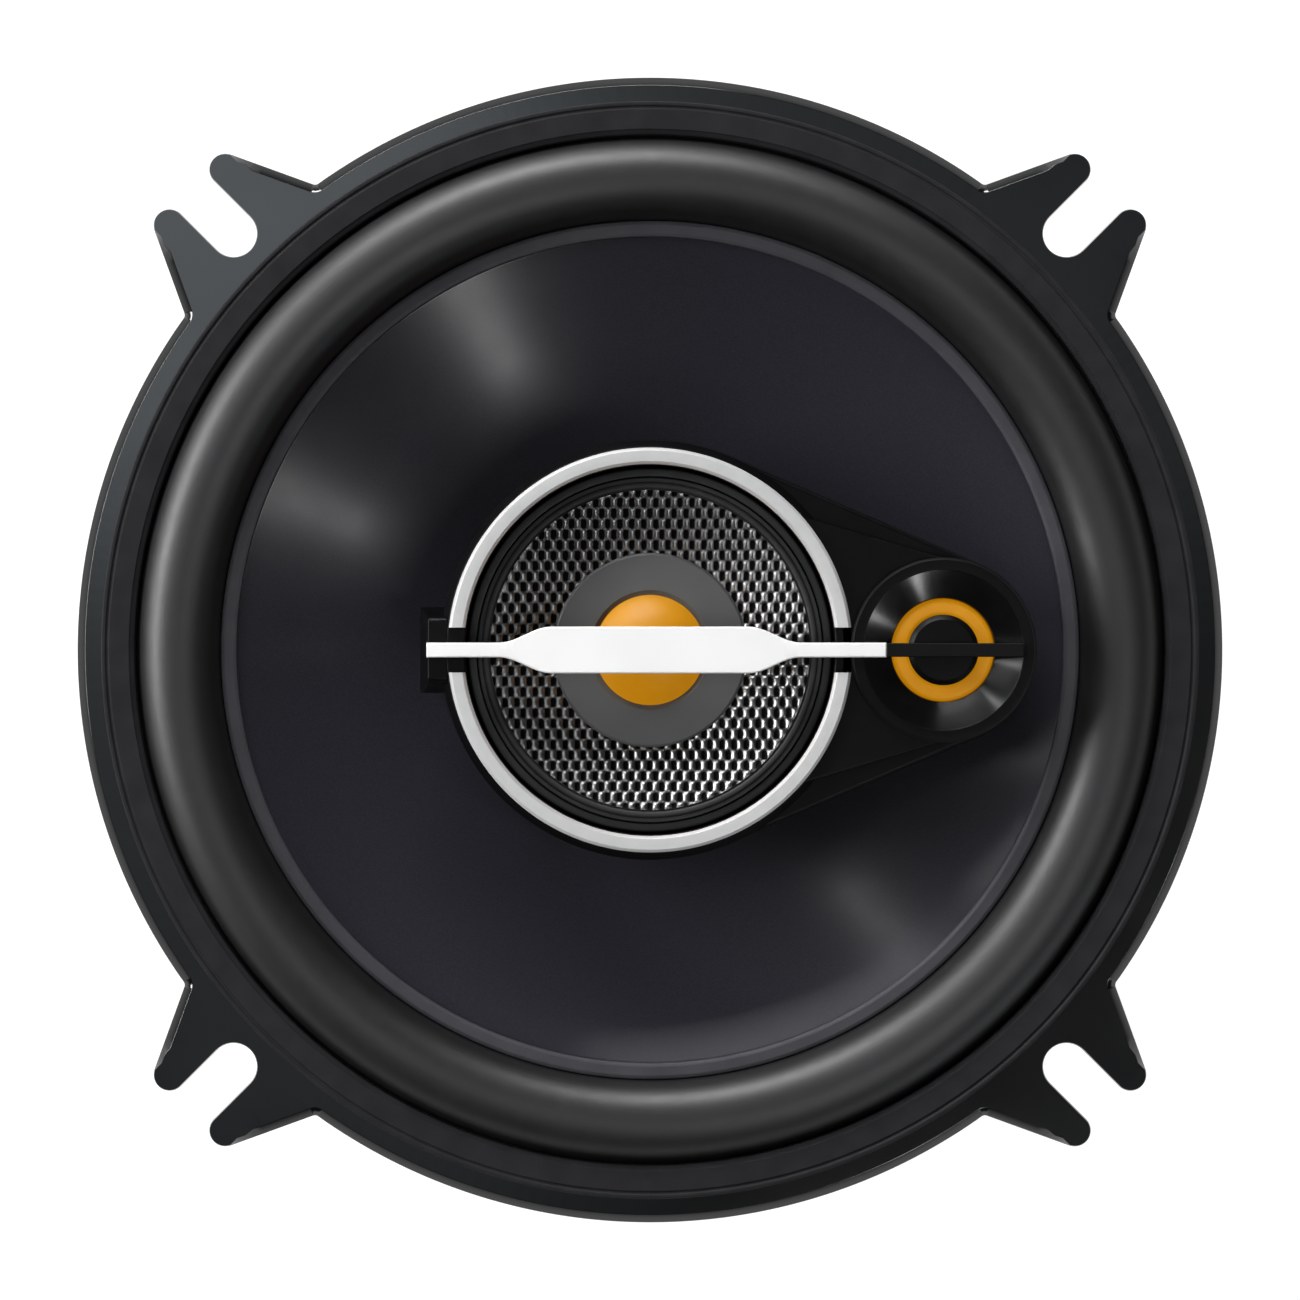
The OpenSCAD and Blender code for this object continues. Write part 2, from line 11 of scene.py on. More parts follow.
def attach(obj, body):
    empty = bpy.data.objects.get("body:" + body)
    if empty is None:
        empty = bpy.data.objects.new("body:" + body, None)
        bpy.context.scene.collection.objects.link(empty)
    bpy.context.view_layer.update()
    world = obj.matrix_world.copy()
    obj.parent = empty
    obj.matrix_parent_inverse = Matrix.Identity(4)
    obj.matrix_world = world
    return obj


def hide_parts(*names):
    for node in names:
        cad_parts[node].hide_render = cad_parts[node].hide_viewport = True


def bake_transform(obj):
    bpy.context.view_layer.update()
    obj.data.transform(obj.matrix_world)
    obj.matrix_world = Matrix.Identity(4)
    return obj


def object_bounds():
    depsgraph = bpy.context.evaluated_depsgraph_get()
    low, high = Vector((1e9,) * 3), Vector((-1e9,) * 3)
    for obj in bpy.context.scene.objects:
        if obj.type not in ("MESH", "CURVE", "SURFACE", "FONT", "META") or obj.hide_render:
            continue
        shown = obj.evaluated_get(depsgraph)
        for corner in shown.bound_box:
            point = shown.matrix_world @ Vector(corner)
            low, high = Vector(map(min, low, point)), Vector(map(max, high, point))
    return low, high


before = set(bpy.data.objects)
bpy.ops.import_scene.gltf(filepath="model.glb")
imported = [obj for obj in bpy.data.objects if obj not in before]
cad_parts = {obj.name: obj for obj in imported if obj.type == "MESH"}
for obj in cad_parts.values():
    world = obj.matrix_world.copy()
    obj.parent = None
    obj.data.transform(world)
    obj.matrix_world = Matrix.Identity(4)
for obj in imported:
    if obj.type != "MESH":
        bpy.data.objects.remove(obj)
cad_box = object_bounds()

MM = 0.001
TURN = 2 * math.pi
# How many segments a turned part has, by its size, and from how many degrees an edge is drawn sharp.
FINE, COARSE, RIVET_SEGMENTS = 360, 96, 48
CREASE, WIRE_CREASE = 32, 50
# The super tweeter's axis.
ARM_X = 33.9
# The woven cone's pads: how far apart they are in a row, and how far apart the rows are.
WEAVE_ALONG, WEAVE_ACROSS = 1.4, 1.22
# The terminal board's directions: away from the speaker's axis, and sideways.
BOARD_ANGLE = math.radians(-45)
BOARD_OUT = Vector((math.cos(BOARD_ANGLE), math.sin(BOARD_ANGLE), 0))
BOARD_ACROSS = Vector((-BOARD_OUT.y, BOARD_OUT.x, 0))


# ---- outlines


def arc(radius, start, end, count, centre=(0, 0)):
    """Points along an arc, with its angles in degrees."""
    turns = [math.radians(start + (end - start) * k / count) for k in range(count + 1)]
    return [Vector((centre[0] + radius * math.cos(t), centre[1] + radius * math.sin(t))) for t in turns]


def circle(radius, count=COARSE, centre=(0, 0)):
    return arc(radius, 0, 360, count, centre)[:-1]


def rounded(points, radius, steps=5):
    """The closed outline with its corners turned into arcs. A third number in a point is its own radius."""
    out = []
    for i, point in enumerate(points):
        corner = Vector(point[:2])
        own = point[2] if len(point) > 2 else radius
        before = Vector(points[i - 1][:2]) - corner
        after = Vector(points[(i + 1) % len(points)][:2]) - corner
        half = before.angle(after) / 2
        if own <= 0 or half > math.radians(89):
            out.append(corner)
            continue
        reach = min(own / math.tan(half), 0.49 * before.length, 0.49 * after.length)
        own = reach * math.tan(half)
        middle = (before.normalized() + after.normalized()).normalized()
        centre = corner + middle * (own / math.sin(half))
        first = corner + before.normalized() * reach - centre
        last = corner + after.normalized() * reach - centre
        angle = math.atan2(first.y, first.x)
        sweep = (math.atan2(last.y, last.x) - angle + math.pi) % TURN - math.pi
        for k in range(steps + 1):
            turn = angle + sweep * k / steps
            out.append(centre + own * Vector((math.cos(turn), math.sin(turn))))
    return out


def counter_clockwise(points):
    area = sum(a.x * b.y - b.x * a.y for a, b in zip(points, points[1:] + points[:1]))
    return points if area > 0 else points[::-1]


def sides(points):
    """At each point of a counter-clockwise outline, the inward direction that keeps an inset's width even."""
    out = []
    for i, point in enumerate(points):
        before = (point - points[i - 1]).normalized()
        after = (points[(i + 1) % len(points)] - point).normalized()
        left = Vector((-before.y - after.y, before.x + after.x)).normalized()
        out.append(left / max(0.5, left.dot(Vector((-before.y, before.x)))))
    return out


def edge_levels(low, high, edge, steps=3):
    """The (inset, height) pairs of a plate whose two rims are rounded by edge."""
    turns = [math.pi / 2 * k / steps for k in range(steps + 1)]
    foot = [(edge * (1 - math.sin(t)), low + edge * (1 - math.cos(t))) for t in turns]
    return foot + [(inset, high + low - z) for inset, z in foot[::-1]]


def ease(t):
    t = min(1, max(0, t))
    return t * t * (3 - 2 * t)


# ---- solids


def add_mesh(name, bm, sharp=CREASE):
    """A new object from a bmesh in millimetres, smooth except at edges sharper than the given angle."""
    bmesh.ops.remove_doubles(bm, verts=bm.verts, dist=1e-5)
    bmesh.ops.recalc_face_normals(bm, faces=bm.faces)
    bm.transform(Matrix.Scale(MM, 4))
    mesh = bpy.data.meshes.new(name)
    bm.to_mesh(mesh)
    bm.free()
    mesh.set_sharp_from_angle(angle=math.radians(sharp))
    piece = bpy.data.objects.new(name, mesh)
    bpy.context.scene.collection.objects.link(piece)
    return piece


def lathe(name, outline, segments=FINE, centre=(0, 0), sharp=CREASE, lift=None):
    """A closed outline of (radius, height) points turned round a vertical axis.
    lift raises or lowers points."""
    bm = bmesh.new()
    rows = []
    for radius, z in outline:
        if radius < 1e-6:
            rows.append([bm.verts.new((centre[0], centre[1], z))] * segments)
            continue
        row = []
        for k in range(segments):
            x, y = radius * math.cos(TURN * k / segments), radius * math.sin(TURN * k / segments)
            extra = lift(x, y, radius, z) if lift else 0
            row.append(bm.verts.new((centre[0] + x, centre[1] + y, z + extra)))
        rows.append(row)
    for row, following in zip(rows, rows[1:] + rows[:1]):
        for k in range(segments):
            corners = list(dict.fromkeys((row[k - 1], row[k], following[k], following[k - 1])))
            if len(corners) > 2:
                bm.faces.new(corners).smooth = True
    return add_mesh(name, bm, sharp)


def bridge(bm, rings):
    """Smooth faces between each ring of vertices and the next."""
    for low, high in zip(rings, rings[1:]):
        for k in range(len(low)):
            bm.faces.new((low[k - 1], low[k], high[k], high[k - 1])).smooth = True


def skin(bm, rings):
    """A closed bar through the rings."""
    bridge(bm, rings)
    bm.faces.new(rings[0])
    bm.faces.new(rings[-1])


def stack(name, loops, levels, place=None, sharp=CREASE):
    """A solid between two flat faces. The first loop is its outside and the others are holes.
    A loop is (points, shares): at a level (inset, height), a point moves inward by inset times its share."""
    bm = bmesh.new()
    bottom, top = [], []
    for number, (points, shares) in enumerate(loops):
        inward = sides(points)
        if number:
            inward = [-direction for direction in inward]
        rings = []
        for inset, z in levels:
            moved = [p + d * (inset * s) for p, d, s in zip(points, inward, shares)]
            rings.append([bm.verts.new((p.x, p.y, z)) for p in moved])
        bridge(bm, rings)
        for ring, edges in ((rings[0], bottom), (rings[-1], top)):
            edges += [bm.edges.get((ring[k - 1], ring[k])) for k in range(len(points))]
    for edges in (bottom, top):
        bmesh.ops.triangle_fill(bm, use_beauty=True, edges=edges)
    if place:
        bm.transform(place)
    return add_mesh(name, bm, sharp)


def plate(name, outline, low, high, edge=0.15, holes=(), place=None, steps=3):
    """A flat plate of the given outline, with rounded rims and through holes."""
    loops = [(counter_clockwise(points), [1] * len(points)) for points in (outline, *holes)]
    return stack(name, loops, edge_levels(low, high, edge, steps), place)


def cutter(name, outline, low, high):
    """A plate that is only there to be cut out of another piece."""
    return plate(name, outline, low, high, 0.01, steps=1)


def smooth_path(points, per_span=12):
    """A Catmull-Rom curve through the points."""
    points = [Vector(p) for p in points]
    ends = [2 * points[0] - points[1]] + points + [2 * points[-1] - points[-2]]
    out = []
    for a, b, c, d in zip(ends, ends[1:], ends[2:], ends[3:]):
        for k in range(per_span):
            t = k / per_span
            out.append(0.5 * (2 * b + (c - a) * t + (2 * a - 5 * b + 4 * c - d) * t * t
                              + (3 * b - a - 3 * c + d) * t ** 3))
    return out + [points[-1]]


def bent_path(points, radius, steps=6):
    """A path of straight stretches with its corners turned into curves."""
    points = [Vector(p) for p in points]
    out = [points[0]]
    for a, b, c in zip(points, points[1:], points[2:]):
        reach = min(radius, 0.45 * (a - b).length, 0.45 * (c - b).length)
        start, end = b + (a - b).normalized() * reach, b + (c - b).normalized() * reach
        out += [start.lerp(b, k / steps).lerp(b.lerp(end, k / steps), k / steps) for k in range(steps + 1)]
    return out + [points[-1]]


def frames(path):
    """A pair of directions across the path at each point, which turn as little as they can."""
    along = [(path[min(i + 1, len(path) - 1)] - path[max(i - 1, 0)]).normalized() for i in range(len(path))]
    side = along[0].orthogonal().normalized()
    out = []
    for direction in along:
        side = (side - direction * side.dot(direction)).normalized()
        out.append((side, direction.cross(side)))
    return out


def add_tube(bm, path, radius, count=16):
    """A closed round bar along the path, with count flats round it, added to bm."""
    rings = []
    for point, (a, b) in zip(path, frames(path)):
        turns = [TURN * k / count for k in range(count)]
        rings.append([bm.verts.new(point + radius * (a * math.cos(t) + b * math.sin(t))) for t in turns])
    skin(bm, rings)


def tubes(name, paths, radius):
    bm = bmesh.new()
    for path in paths:
        add_tube(bm, path, radius)
    return add_mesh(name, bm, WIRE_CREASE)


def braid(name, path, radius):
    """Six strands twisted round the path, one turn in every 2.6 mm."""
    strands, pitch, thin = 6, 2.6, radius * 0.4
    bm = bmesh.new()
    lengths = np.cumsum([0] + [(b - a).length for a, b in zip(path, path[1:])])
    for strand in range(strands):
        twisted = []
        for point, (a, b), length in zip(path, frames(path), lengths):
            t = TURN * (strand / strands + length / pitch)
            twisted.append(point + (radius - thin) * (a * math.cos(t) + b * math.sin(t)))
        add_tube(bm, twisted, thin, 8)
    return add_mesh(name, bm, WIRE_CREASE)


def join(name, parts):
    """The parts as one object with one mesh."""
    bm = bmesh.new()
    for part in parts:
        bm.from_mesh(part.data)
        bpy.data.objects.remove(part)
    mesh = bpy.data.meshes.new(name)
    bm.to_mesh(mesh)
    bm.free()
    piece = bpy.data.objects.new(name, mesh)
    bpy.context.scene.collection.objects.link(piece)
    return piece


def cut(piece, taken):
    """Takes one piece's shape out of another, and removes it."""
    change = piece.modifiers.new("cut", "BOOLEAN")
    change.operation = "DIFFERENCE"
    change.solver = "EXACT"
    change.object = taken
    bpy.context.view_layer.update()
    mesh = bpy.data.meshes.new_from_object(piece.evaluated_get(bpy.context.evaluated_depsgraph_get()))
    piece.modifiers.clear()
    piece.data = mesh
    mesh.set_sharp_from_angle(angle=math.radians(CREASE))
    bpy.data.objects.remove(taken)
    return piece


def place(piece, body, slot, *nodes):
    """Gives a piece its finish and its body, and hides the CAD nodes that it stands for."""
    piece.data.materials.clear()
    piece.data.materials.append(FINISHES[slot])
    piece.modifiers.new("flat_faces", "WEIGHTED_NORMAL").keep_sharp = True
    if body:
        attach(piece, body)
    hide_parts(*nodes)


def blend_by_radius(piece):
    """Bakes the piece's placement into its mesh."""
    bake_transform(piece)


# ---- materials


def srgb(red, green, blue):
    """A colour given as it looks on screen, from 0 to 255, in the linear numbers that a shader takes."""
    shares = (red / 255, green / 255, blue / 255)
    return (*[c / 12.92 if c <= 0.04045 else ((c + 0.055) / 1.055) ** 2.4 for c in shares], 1)


FINISHES = {}


class Finish:
    """A procedural material: a Principled shader and the nodes that feed it. FINISHES keeps it by name."""

    def __init__(self, name, metallic=0.0, specular=0.5, sheen=0.0):
        self.material = FINISHES[name] = bpy.data.materials.new(name)
        self.material.use_nodes = True
        self.tree = self.material.node_tree
        self.shader = self.tree.nodes["Principled BSDF"]
        fixed = {"Metallic": metallic, "Specular IOR Level": specular, "Sheen Weight": sheen}
        for socket, value in fixed.items():
            self.shader.inputs[socket].default_value = value
        self.place = self.tree.nodes.new("ShaderNodeTexCoord").outputs["Object"]

    def node(self, kind, inputs, **settings):
        """A new node. Each of its inputs is a value or another node's output."""
        node = self.tree.nodes.new("ShaderNode" + kind)
        for name, value in settings.items():
            setattr(node, name, value)
        for key, value in inputs.items():
            if isinstance(value, bpy.types.NodeSocket):
                self.tree.links.new(value, node.inputs[key])
            else:
                node.inputs[key].default_value = value
        return node

    def math(self, operation, *values):
        return self.node("Math", dict(enumerate(values)), operation=operation).outputs[0]

    def vector(self, operation, *values):
        return self.node("VectorMath", dict(enumerate(values)), operation=operation).outputs[0]

    def stretched(self, x, y, z):
        return self.vector("MULTIPLY", self.place, (x, y, z))

    def from_axis(self, centre):
        """Coordinates measured from the vertical axis through centre."""
        return self.vector("SUBTRACT", self.place, (centre[0] * MM, centre[1] * MM, 0))

    def noise(self, size, detail=3.0, place=None):
        """Noise whose blobs are about size millimetres across."""
        inputs = {"Vector": place or self.place, "Scale": 1 / (size * MM), "Detail": detail}
        return self.node("TexNoise", inputs).outputs[0]

    def cells(self, size):
        return self.node("TexVoronoi", {"Vector": self.place, "Scale": 1 / (size * MM)}).outputs["Distance"]

    def round_place(self, centre=(0, 0)):
        """Coordinates of (radius, height) for turned parts, so that noise on them makes rings."""
        x, y, z = self.node("SeparateXYZ", {0: self.from_axis(centre)}).outputs
        radius = self.math("SQRT", self.math("ADD", self.math("MULTIPLY", x, x), self.math("MULTIPLY", y, y)))
        return self.node("CombineXYZ", {0: radius, 1: z, 2: 0.0}).outputs[0]

    def radial_gloss(self, amount, centre=(0, 0)):
        """Draws highlights out along the radius, as the fine turned lines of a mould do."""
        flat = self.vector("MULTIPLY", self.from_axis(centre), (1, 1, 0))
        self.tree.links.new(self.vector("NORMALIZE", flat), self.shader.inputs["Tangent"])
        self.shader.inputs["Anisotropic"].default_value = amount

    def wave(self, size, direction):
        """Even bands, size millimetres apart, that follow one another along a direction."""
        inputs = {"Vector": self.place, "Scale": 0.314 / (size * MM)}
        return self.node("TexWave", inputs, bands_direction=direction).outputs["Fac"]

    def spread(self, value, low, high, start=0.3, end=0.7):
        """The value's range from start to end mapped to low to high."""
        inputs = {"Value": value, "From Min": start, "From Max": end, "To Min": low, "To Max": high}
        return self.node("MapRange", inputs).outputs[0]

    def colour(self, value, dark, light, start=0.3, end=0.7):
        ramp = self.node("ValToRGB", {0: value})
        for stop, position, colour in zip(ramp.color_ramp.elements, (start, end), (dark, light)):
            stop.position, stop.color = position, colour
        self.tree.links.new(ramp.outputs[0], self.shader.inputs["Base Color"])

    def rough(self, value, low, high, start=0.3, end=0.7):
        self.tree.links.new(self.spread(value, low, high, start, end), self.shader.inputs["Roughness"])

    def bump(self, height, depth):
        """Adds relief of about depth millimetres, on top of any added before."""
        normal = self.shader.inputs["Normal"]
        inputs = {"Height": height, "Distance": depth * MM, "Strength": 1.0}
        if normal.is_linked:
            inputs["Normal"] = normal.links[0].from_socket
        self.tree.links.new(self.node("Bump", inputs).outputs[0], normal)


def plastic(name, dark, light, low, high, grain=0.25, depth=0.004, specular=0.5):
    """Moulded plastic with a fine skin texture."""
    finish = Finish(name, specular=specular)
    finish.colour(finish.noise(9), srgb(*dark), srgb(*light))
    finish.rough(finish.noise(1.6), low, high)
    finish.bump(finish.noise(grain, 2), depth)


def paint():
    """Glossy black enamel on pressed steel, with a trace of orange peel."""
    finish = Finish("frame_paint", specular=0.7)
    finish.colour(finish.noise(20), srgb(4, 5, 6), srgb(7, 8, 9))
    finish.rough(finish.noise(12), 0.115, 0.13)
    finish.bump(finish.noise(1.1, 2), 0.001)


def rubber(name, dark, light, low, high, specular=0.35):
    """Smooth rubber with a fine matt bloom."""
    finish = Finish(name, specular=specular)
    finish.colour(finish.noise(3.5), srgb(*dark), srgb(*light))
    finish.rough(finish.noise(1.2), low, high)
    finish.bump(finish.cells(0.22), 0.006)
    finish.bump(finish.noise(2.0, 1), 0.01)


def cone_polymer():
    """Moulded polymer with a silky gloss, faint mica flecks and the mould's turned lines."""
    finish = Finish("cone_polymer", specular=0.4)
    finish.radial_gloss(0.95)
    finish.colour(finish.noise(0.16, 1), srgb(35, 34, 40), srgb(43, 42, 49), 0.35, 0.75)
    finish.rough(finish.noise(2.5), 0.25, 0.27)
    finish.bump(finish.noise(0.30, 1, finish.round_place()), 0.0012)
    finish.bump(finish.noise(0.18, 1), 0.0012)


def turned_metal(name, dark, light, low, high):
    """Turned or plated metal with fine tool lines and cloudy plating."""
    finish = Finish(name, metallic=1.0)
    finish.colour(finish.noise(5), srgb(*dark), srgb(*light))
    finish.rough(finish.noise(1.5), low, high)
    finish.bump(finish.noise(0.12, 2, finish.round_place()), 0.004)


def ferrite():
    """Fired ferrite: dark grey ceramic with pores and ground marks."""
    finish = Finish("ferrite", specular=0.4)
    finish.colour(finish.noise(0.5, 5), srgb(44, 44, 47), srgb(74, 74, 78))
    finish.rough(finish.noise(3), 0.5, 0.75)
    finish.bump(finish.cells(0.8), 0.02)
    finish.bump(finish.noise(0.22, 4), 0.02)


def cloth():
    """Stiffened woven cloth: threads both ways."""
    finish = Finish("spider_cloth", specular=0.25, sheen=0.2)
    weave = finish.math("MAXIMUM", finish.wave(0.55, "X"), finish.wave(0.55, "Y"))
    tone = finish.math("MULTIPLY", weave, finish.spread(finish.noise(1.5), 0.7, 1.0))
    finish.colour(tone, srgb(128, 98, 48), srgb(196, 162, 96), 0.2, 1.0)
    finish.rough(finish.noise(1), 0.75, 0.95)
    finish.bump(weave, 0.08)


def winding():
    """Enamelled copper wire laid in close turns."""
    finish = Finish("winding", metallic=0.9)
    finish.colour(finish.noise(1.5), srgb(150, 78, 36), srgb(204, 122, 66))
    finish.rough(finish.noise(1), 0.25, 0.4)
    finish.bump(finish.wave(0.22, "Z"), 0.06)


def laminate():
    """Brown paper laminate, with its fibres and small pits."""
    finish = Finish("board_laminate", specular=0.4)
    finish.colour(finish.noise(0.9, 5, finish.stretched(1, 1, 3)), srgb(92, 58, 32), srgb(140, 92, 52))
    finish.rough(finish.noise(1.5), 0.38, 0.6)
    finish.bump(finish.noise(0.25, 3), 0.01)


def sleeve():
    """Shrunk plastic sleeve with shallow wrinkles and a pale stripe down its outer side."""
    finish = Finish("capacitor_sleeve")
    out = finish.node("VectorMath", {0: finish.place, 1: BOARD_OUT}, operation="DOT_PRODUCT").outputs["Value"]
    stripe = finish.spread(out, 0, 1, 54.0 * MM, 54.1 * MM)
    finish.colour(stripe, srgb(22, 26, 44), srgb(170, 174, 184), 0.4, 0.6)
    finish.rough(finish.noise(1), 0.25, 0.4)
    finish.bump(finish.noise(1.1, 2, finish.stretched(1, 1, 2.5)), 0.03)


def silver_lacquer():
    """Silver lacquer over a finely brushed moulding."""
    finish = Finish("silver_trim", metallic=0.25)
    finish.colour(finish.noise(2.5), srgb(183, 183, 183), srgb(190, 190, 190))
    finish.rough(finish.noise(0.8), 0.34, 0.42)
    finish.bump(finish.noise(0.10, 2, finish.round_place()), 0.002)


def gold_dome():
    """Amber film pressed into a dome, satin, with a painted glow: it gives off a little orange light of its
    own.
    """
    finish = Finish("gold_dome", specular=0.3)
    finish.colour(finish.noise(1.6), srgb(130, 88, 4), srgb(138, 95, 7))
    # Painted glow: the domes emit orange light, though they are no lamp.
    finish.shader.inputs["Emission Color"].default_value = srgb(240, 158, 6)
    finish.shader.inputs["Emission Strength"].default_value = 0.4
    finish.rough(finish.noise(0.9), 0.42, 0.5)
    finish.bump(finish.noise(0.12, 2), 0.0015)


def horn_gloss():
    """Polished black moulding of the super tweeter's horn, with turned lines round its axis."""
    finish = Finish("horn_black", specular=0.55)
    finish.radial_gloss(0.9, (ARM_X, 0))
    finish.colour(finish.noise(2), srgb(4, 4, 5), srgb(7, 7, 8))
    finish.rough(finish.noise(1.5), 0.19, 0.22)
    finish.bump(finish.noise(0.2, 1, finish.round_place((ARM_X, 0))), 0.001)


def woven_black():
    """Fibre weave with a metal finish: the pads that lie on top are light grey and shine, and the pits
    between them are painted near black, as painted shade.
    """
    finish = Finish("woven_black", metallic=1.0)
    x, y, _ = finish.node("SeparateXYZ", {0: finish.place}).outputs
    columns = finish.math("COSINE", finish.math("MULTIPLY", x, TURN / (WEAVE_ALONG * MM)))
    rows = finish.math("COSINE", finish.math("MULTIPLY", y, math.pi / (WEAVE_ACROSS * MM)))
    threads = finish.math("MULTIPLY", columns, rows)
    pit_shade_and_noise = finish.math("ADD", threads, finish.spread(finish.noise(0.5), -0.1, 0.1))
    # Painted shade: the colour runs from near black in the pits between the pads to light grey on the pads.
    finish.colour(finish.spread(pit_shade_and_noise, 0, 1, -1, 1), srgb(14, 14, 14), srgb(132, 132, 132), 0.38, 0.66)
    finish.rough(pit_shade_and_noise, 0.6, 0.3, -0.3, 0.2)
    finish.bump(finish.noise(0.07, 2, finish.stretched(1, 1.6, 1)), 0.003)


paint()
ferrite()
cone_polymer()
cloth()
winding()
laminate()
sleeve()
silver_lacquer()
gold_dome()
horn_gloss()
woven_black()
rubber("gasket_rubber", (29, 29, 31), (35, 35, 37), 0.55, 0.7, 0.1)
rubber("roll_rubber", (11, 11, 13), (15, 15, 17), 0.44, 0.48, 0.62)
rubber("edge_adhesive", (48, 47, 52), (55, 54, 59), 0.45, 0.6)
rubber("tweeter_rubber", (37, 37, 38), (43, 43, 44), 0.5, 0.62, 0.3)
turned_metal("plated_steel", (160, 162, 165), (178, 179, 181), 0.30, 0.38)
turned_metal("post_alloy", (166, 168, 170), (196, 197, 198), 0.25, 0.38)
turned_metal("rivet_steel", (160, 161, 164), (196, 197, 199), 0.25, 0.4)
turned_metal("terminal_brass", (196, 160, 84), (222, 190, 116), 0.22, 0.38)
turned_metal("tinned_wire", (170, 172, 176), (204, 205, 207), 0.25, 0.4)
turned_metal("tinsel_braid", (170, 104, 60), (208, 146, 96), 0.3, 0.45)
turned_metal("nickel_magnet", (176, 176, 172), (200, 199, 194), 0.15, 0.28)
plastic("former_film", (150, 96, 30), (184, 124, 48), 0.25, 0.4)
plastic("wire_sleeve", (20, 20, 22), (30, 30, 32), 0.35, 0.5)
plastic("frame_black", (7, 7, 8), (12, 12, 13), 0.45, 0.55)
plastic("pod_black", (3, 3, 4), (7, 7, 8), 0.33, 0.41, 0.20, specular=0.1)
plastic("bar_white", (220, 220, 220), (226, 226, 225), 0.28, 0.36, 0.5, 0.002)
plastic("bar_black", (9, 9, 10), (13, 13, 14), 0.4, 0.5, specular=0.1)
plastic("disc_grey", (70, 70, 70), (77, 77, 77), 0.30, 0.36, 0.2, 0.002, specular=0.35)


# ---- frame

FLANGE_R, SHEET, RIM_BEVEL = 67, 1.2, 1.0
WALL_R, WALL_H = 58, 7
LEDGE_R, LEDGE_Z = 40.5, -18.5
CUP_TOP_R, CUP_R, FLOOR_Z, FLOOR_HOLE_R = 32, 30.5, -23.5, 16
WINDOW_OUT, WINDOW_IN = 55, 41.5
SPOKES = (45, 135, 225, 315)
EAR_REACH, EAR_ROOT, TIP_R, SLOT_HALF, SLOT_SEAT = 76.8, 10.8, 1.9, 2.7, 68.9
SKIRT_DROP = (-WALL_H - LEDGE_Z) / (WALL_R - LEDGE_R)
SKIRT_LIFT = SHEET * math.hypot(1, SKIRT_DROP)
# The share of the flange's bevel that the ears' tips and slots have, and the share that its bore has.
TIP_SHARE, BORE_SHARE = 0.12, 0.2
BASE_RIVETS = circle(24, 4)


def turned_by(points, degrees):
    spin = Matrix.Rotation(math.radians(degrees), 2)
    return [spin @ point for point in points]


def ear_side():
    """Half of an ear along +X, from the flange to the slot's seat, as (point, bevel share) pairs."""
    root = math.sqrt(FLANGE_R ** 2 - EAR_ROOT ** 2)
    tip = Vector((EAR_REACH - TIP_R, SLOT_HALF + TIP_R))
    reach = tip - Vector((root, EAR_ROOT))
    flank = math.degrees(math.atan2(reach.y, reach.x) + math.asin(TIP_R / reach.length))
    nose = arc(TIP_R, flank + 90, -90, 18, tip)
    root_corner = rounded([(root - 1.6, EAR_ROOT + 8), (root, EAR_ROOT), tuple(nose[0])], 0.7)[6:12]
    pairs = [(point, 1.0) for point in root_corner]
    for k in range(1, 10):
        along = root_corner[-1].lerp(nose[0], k / 10)
        pairs.append((along, 1.0 if k < 8 else 0.6))
    slot = [Vector((SLOT_SEAT + (tip.x - SLOT_SEAT) * k / 4, SLOT_HALF)) for k in (3, 2, 1)]
    seat = arc(SLOT_HALF, 90, 180, 10, (SLOT_SEAT, 0))
    return pairs + [(point, TIP_SHARE) for point in nose + slot + seat]


def flange():
    """The flat ring with its four slotted ears, bevelled round the rim and along the ears' flanks."""
    half = ear_side()
    other = [(Vector((p.x, -p.y)), share) for p, share in half]
    ear = other + half[::-1][1:]
    first = math.degrees(math.atan2(-EAR_ROOT - 1.3, FLANGE_R))
    outline, shares = [], []
    for spoke in SPOKES:
        outline += turned_by([point for point, _ in ear], spoke)
        shares += [share for _, share in ear]
        rim = arc(FLANGE_R, spoke - first, spoke + 90 + first, 130)
        outline += rim
        shares += [1.0] * len(rim)
    levels = [(0.1, 0), (0.03, 0.04), (0, 0.12), (0, 0.34), (0.07, 0.45)]
    levels += [(0.93, SHEET - 0.03), (RIM_BEVEL, SHEET)]
    inner = circle(WALL_R - SHEET + 0.3, 240)
    return stack("flange", [(outline, shares), (inner, [BORE_SHARE] * 240)], levels, sharp=25)


def shell_wall():
    """The pressed wall, sloping skirt, ledge and cup, with rolled bends."""
    skirt_top = -WALL_H + SKIRT_LIFT - SHEET * SKIRT_DROP
    ledge_top = LEDGE_Z + SHEET
    return lathe("shell_wall", rounded([
        (60.5, 0.1, 0),
        (WALL_R + 1.3, 0.02, 0),
        (WALL_R, 0.0, 1.2),
        (WALL_R, -WALL_H, 2.0),
        (LEDGE_R, LEDGE_Z, 1.8),
        (CUP_TOP_R, LEDGE_Z, 0.9),
        (CUP_R, FLOOR_Z, 1.8),
        (FLOOR_HOLE_R, FLOOR_Z, 0.1),
        (FLOOR_HOLE_R, FLOOR_Z + SHEET, 0.1),
        (CUP_R - SHEET + 0.3, FLOOR_Z + SHEET, 0.7),
        (CUP_TOP_R - SHEET + 0.3, ledge_top, 1.8),
        (LEDGE_R - (SKIRT_LIFT - SHEET) / SKIRT_DROP, ledge_top, 0.7),
        (WALL_R - SHEET, skirt_top, 0.9),
        (WALL_R - SHEET, SHEET - 0.1, 0.3),
        (60.5, SHEET - 0.1, 0),
    ], 1.0))


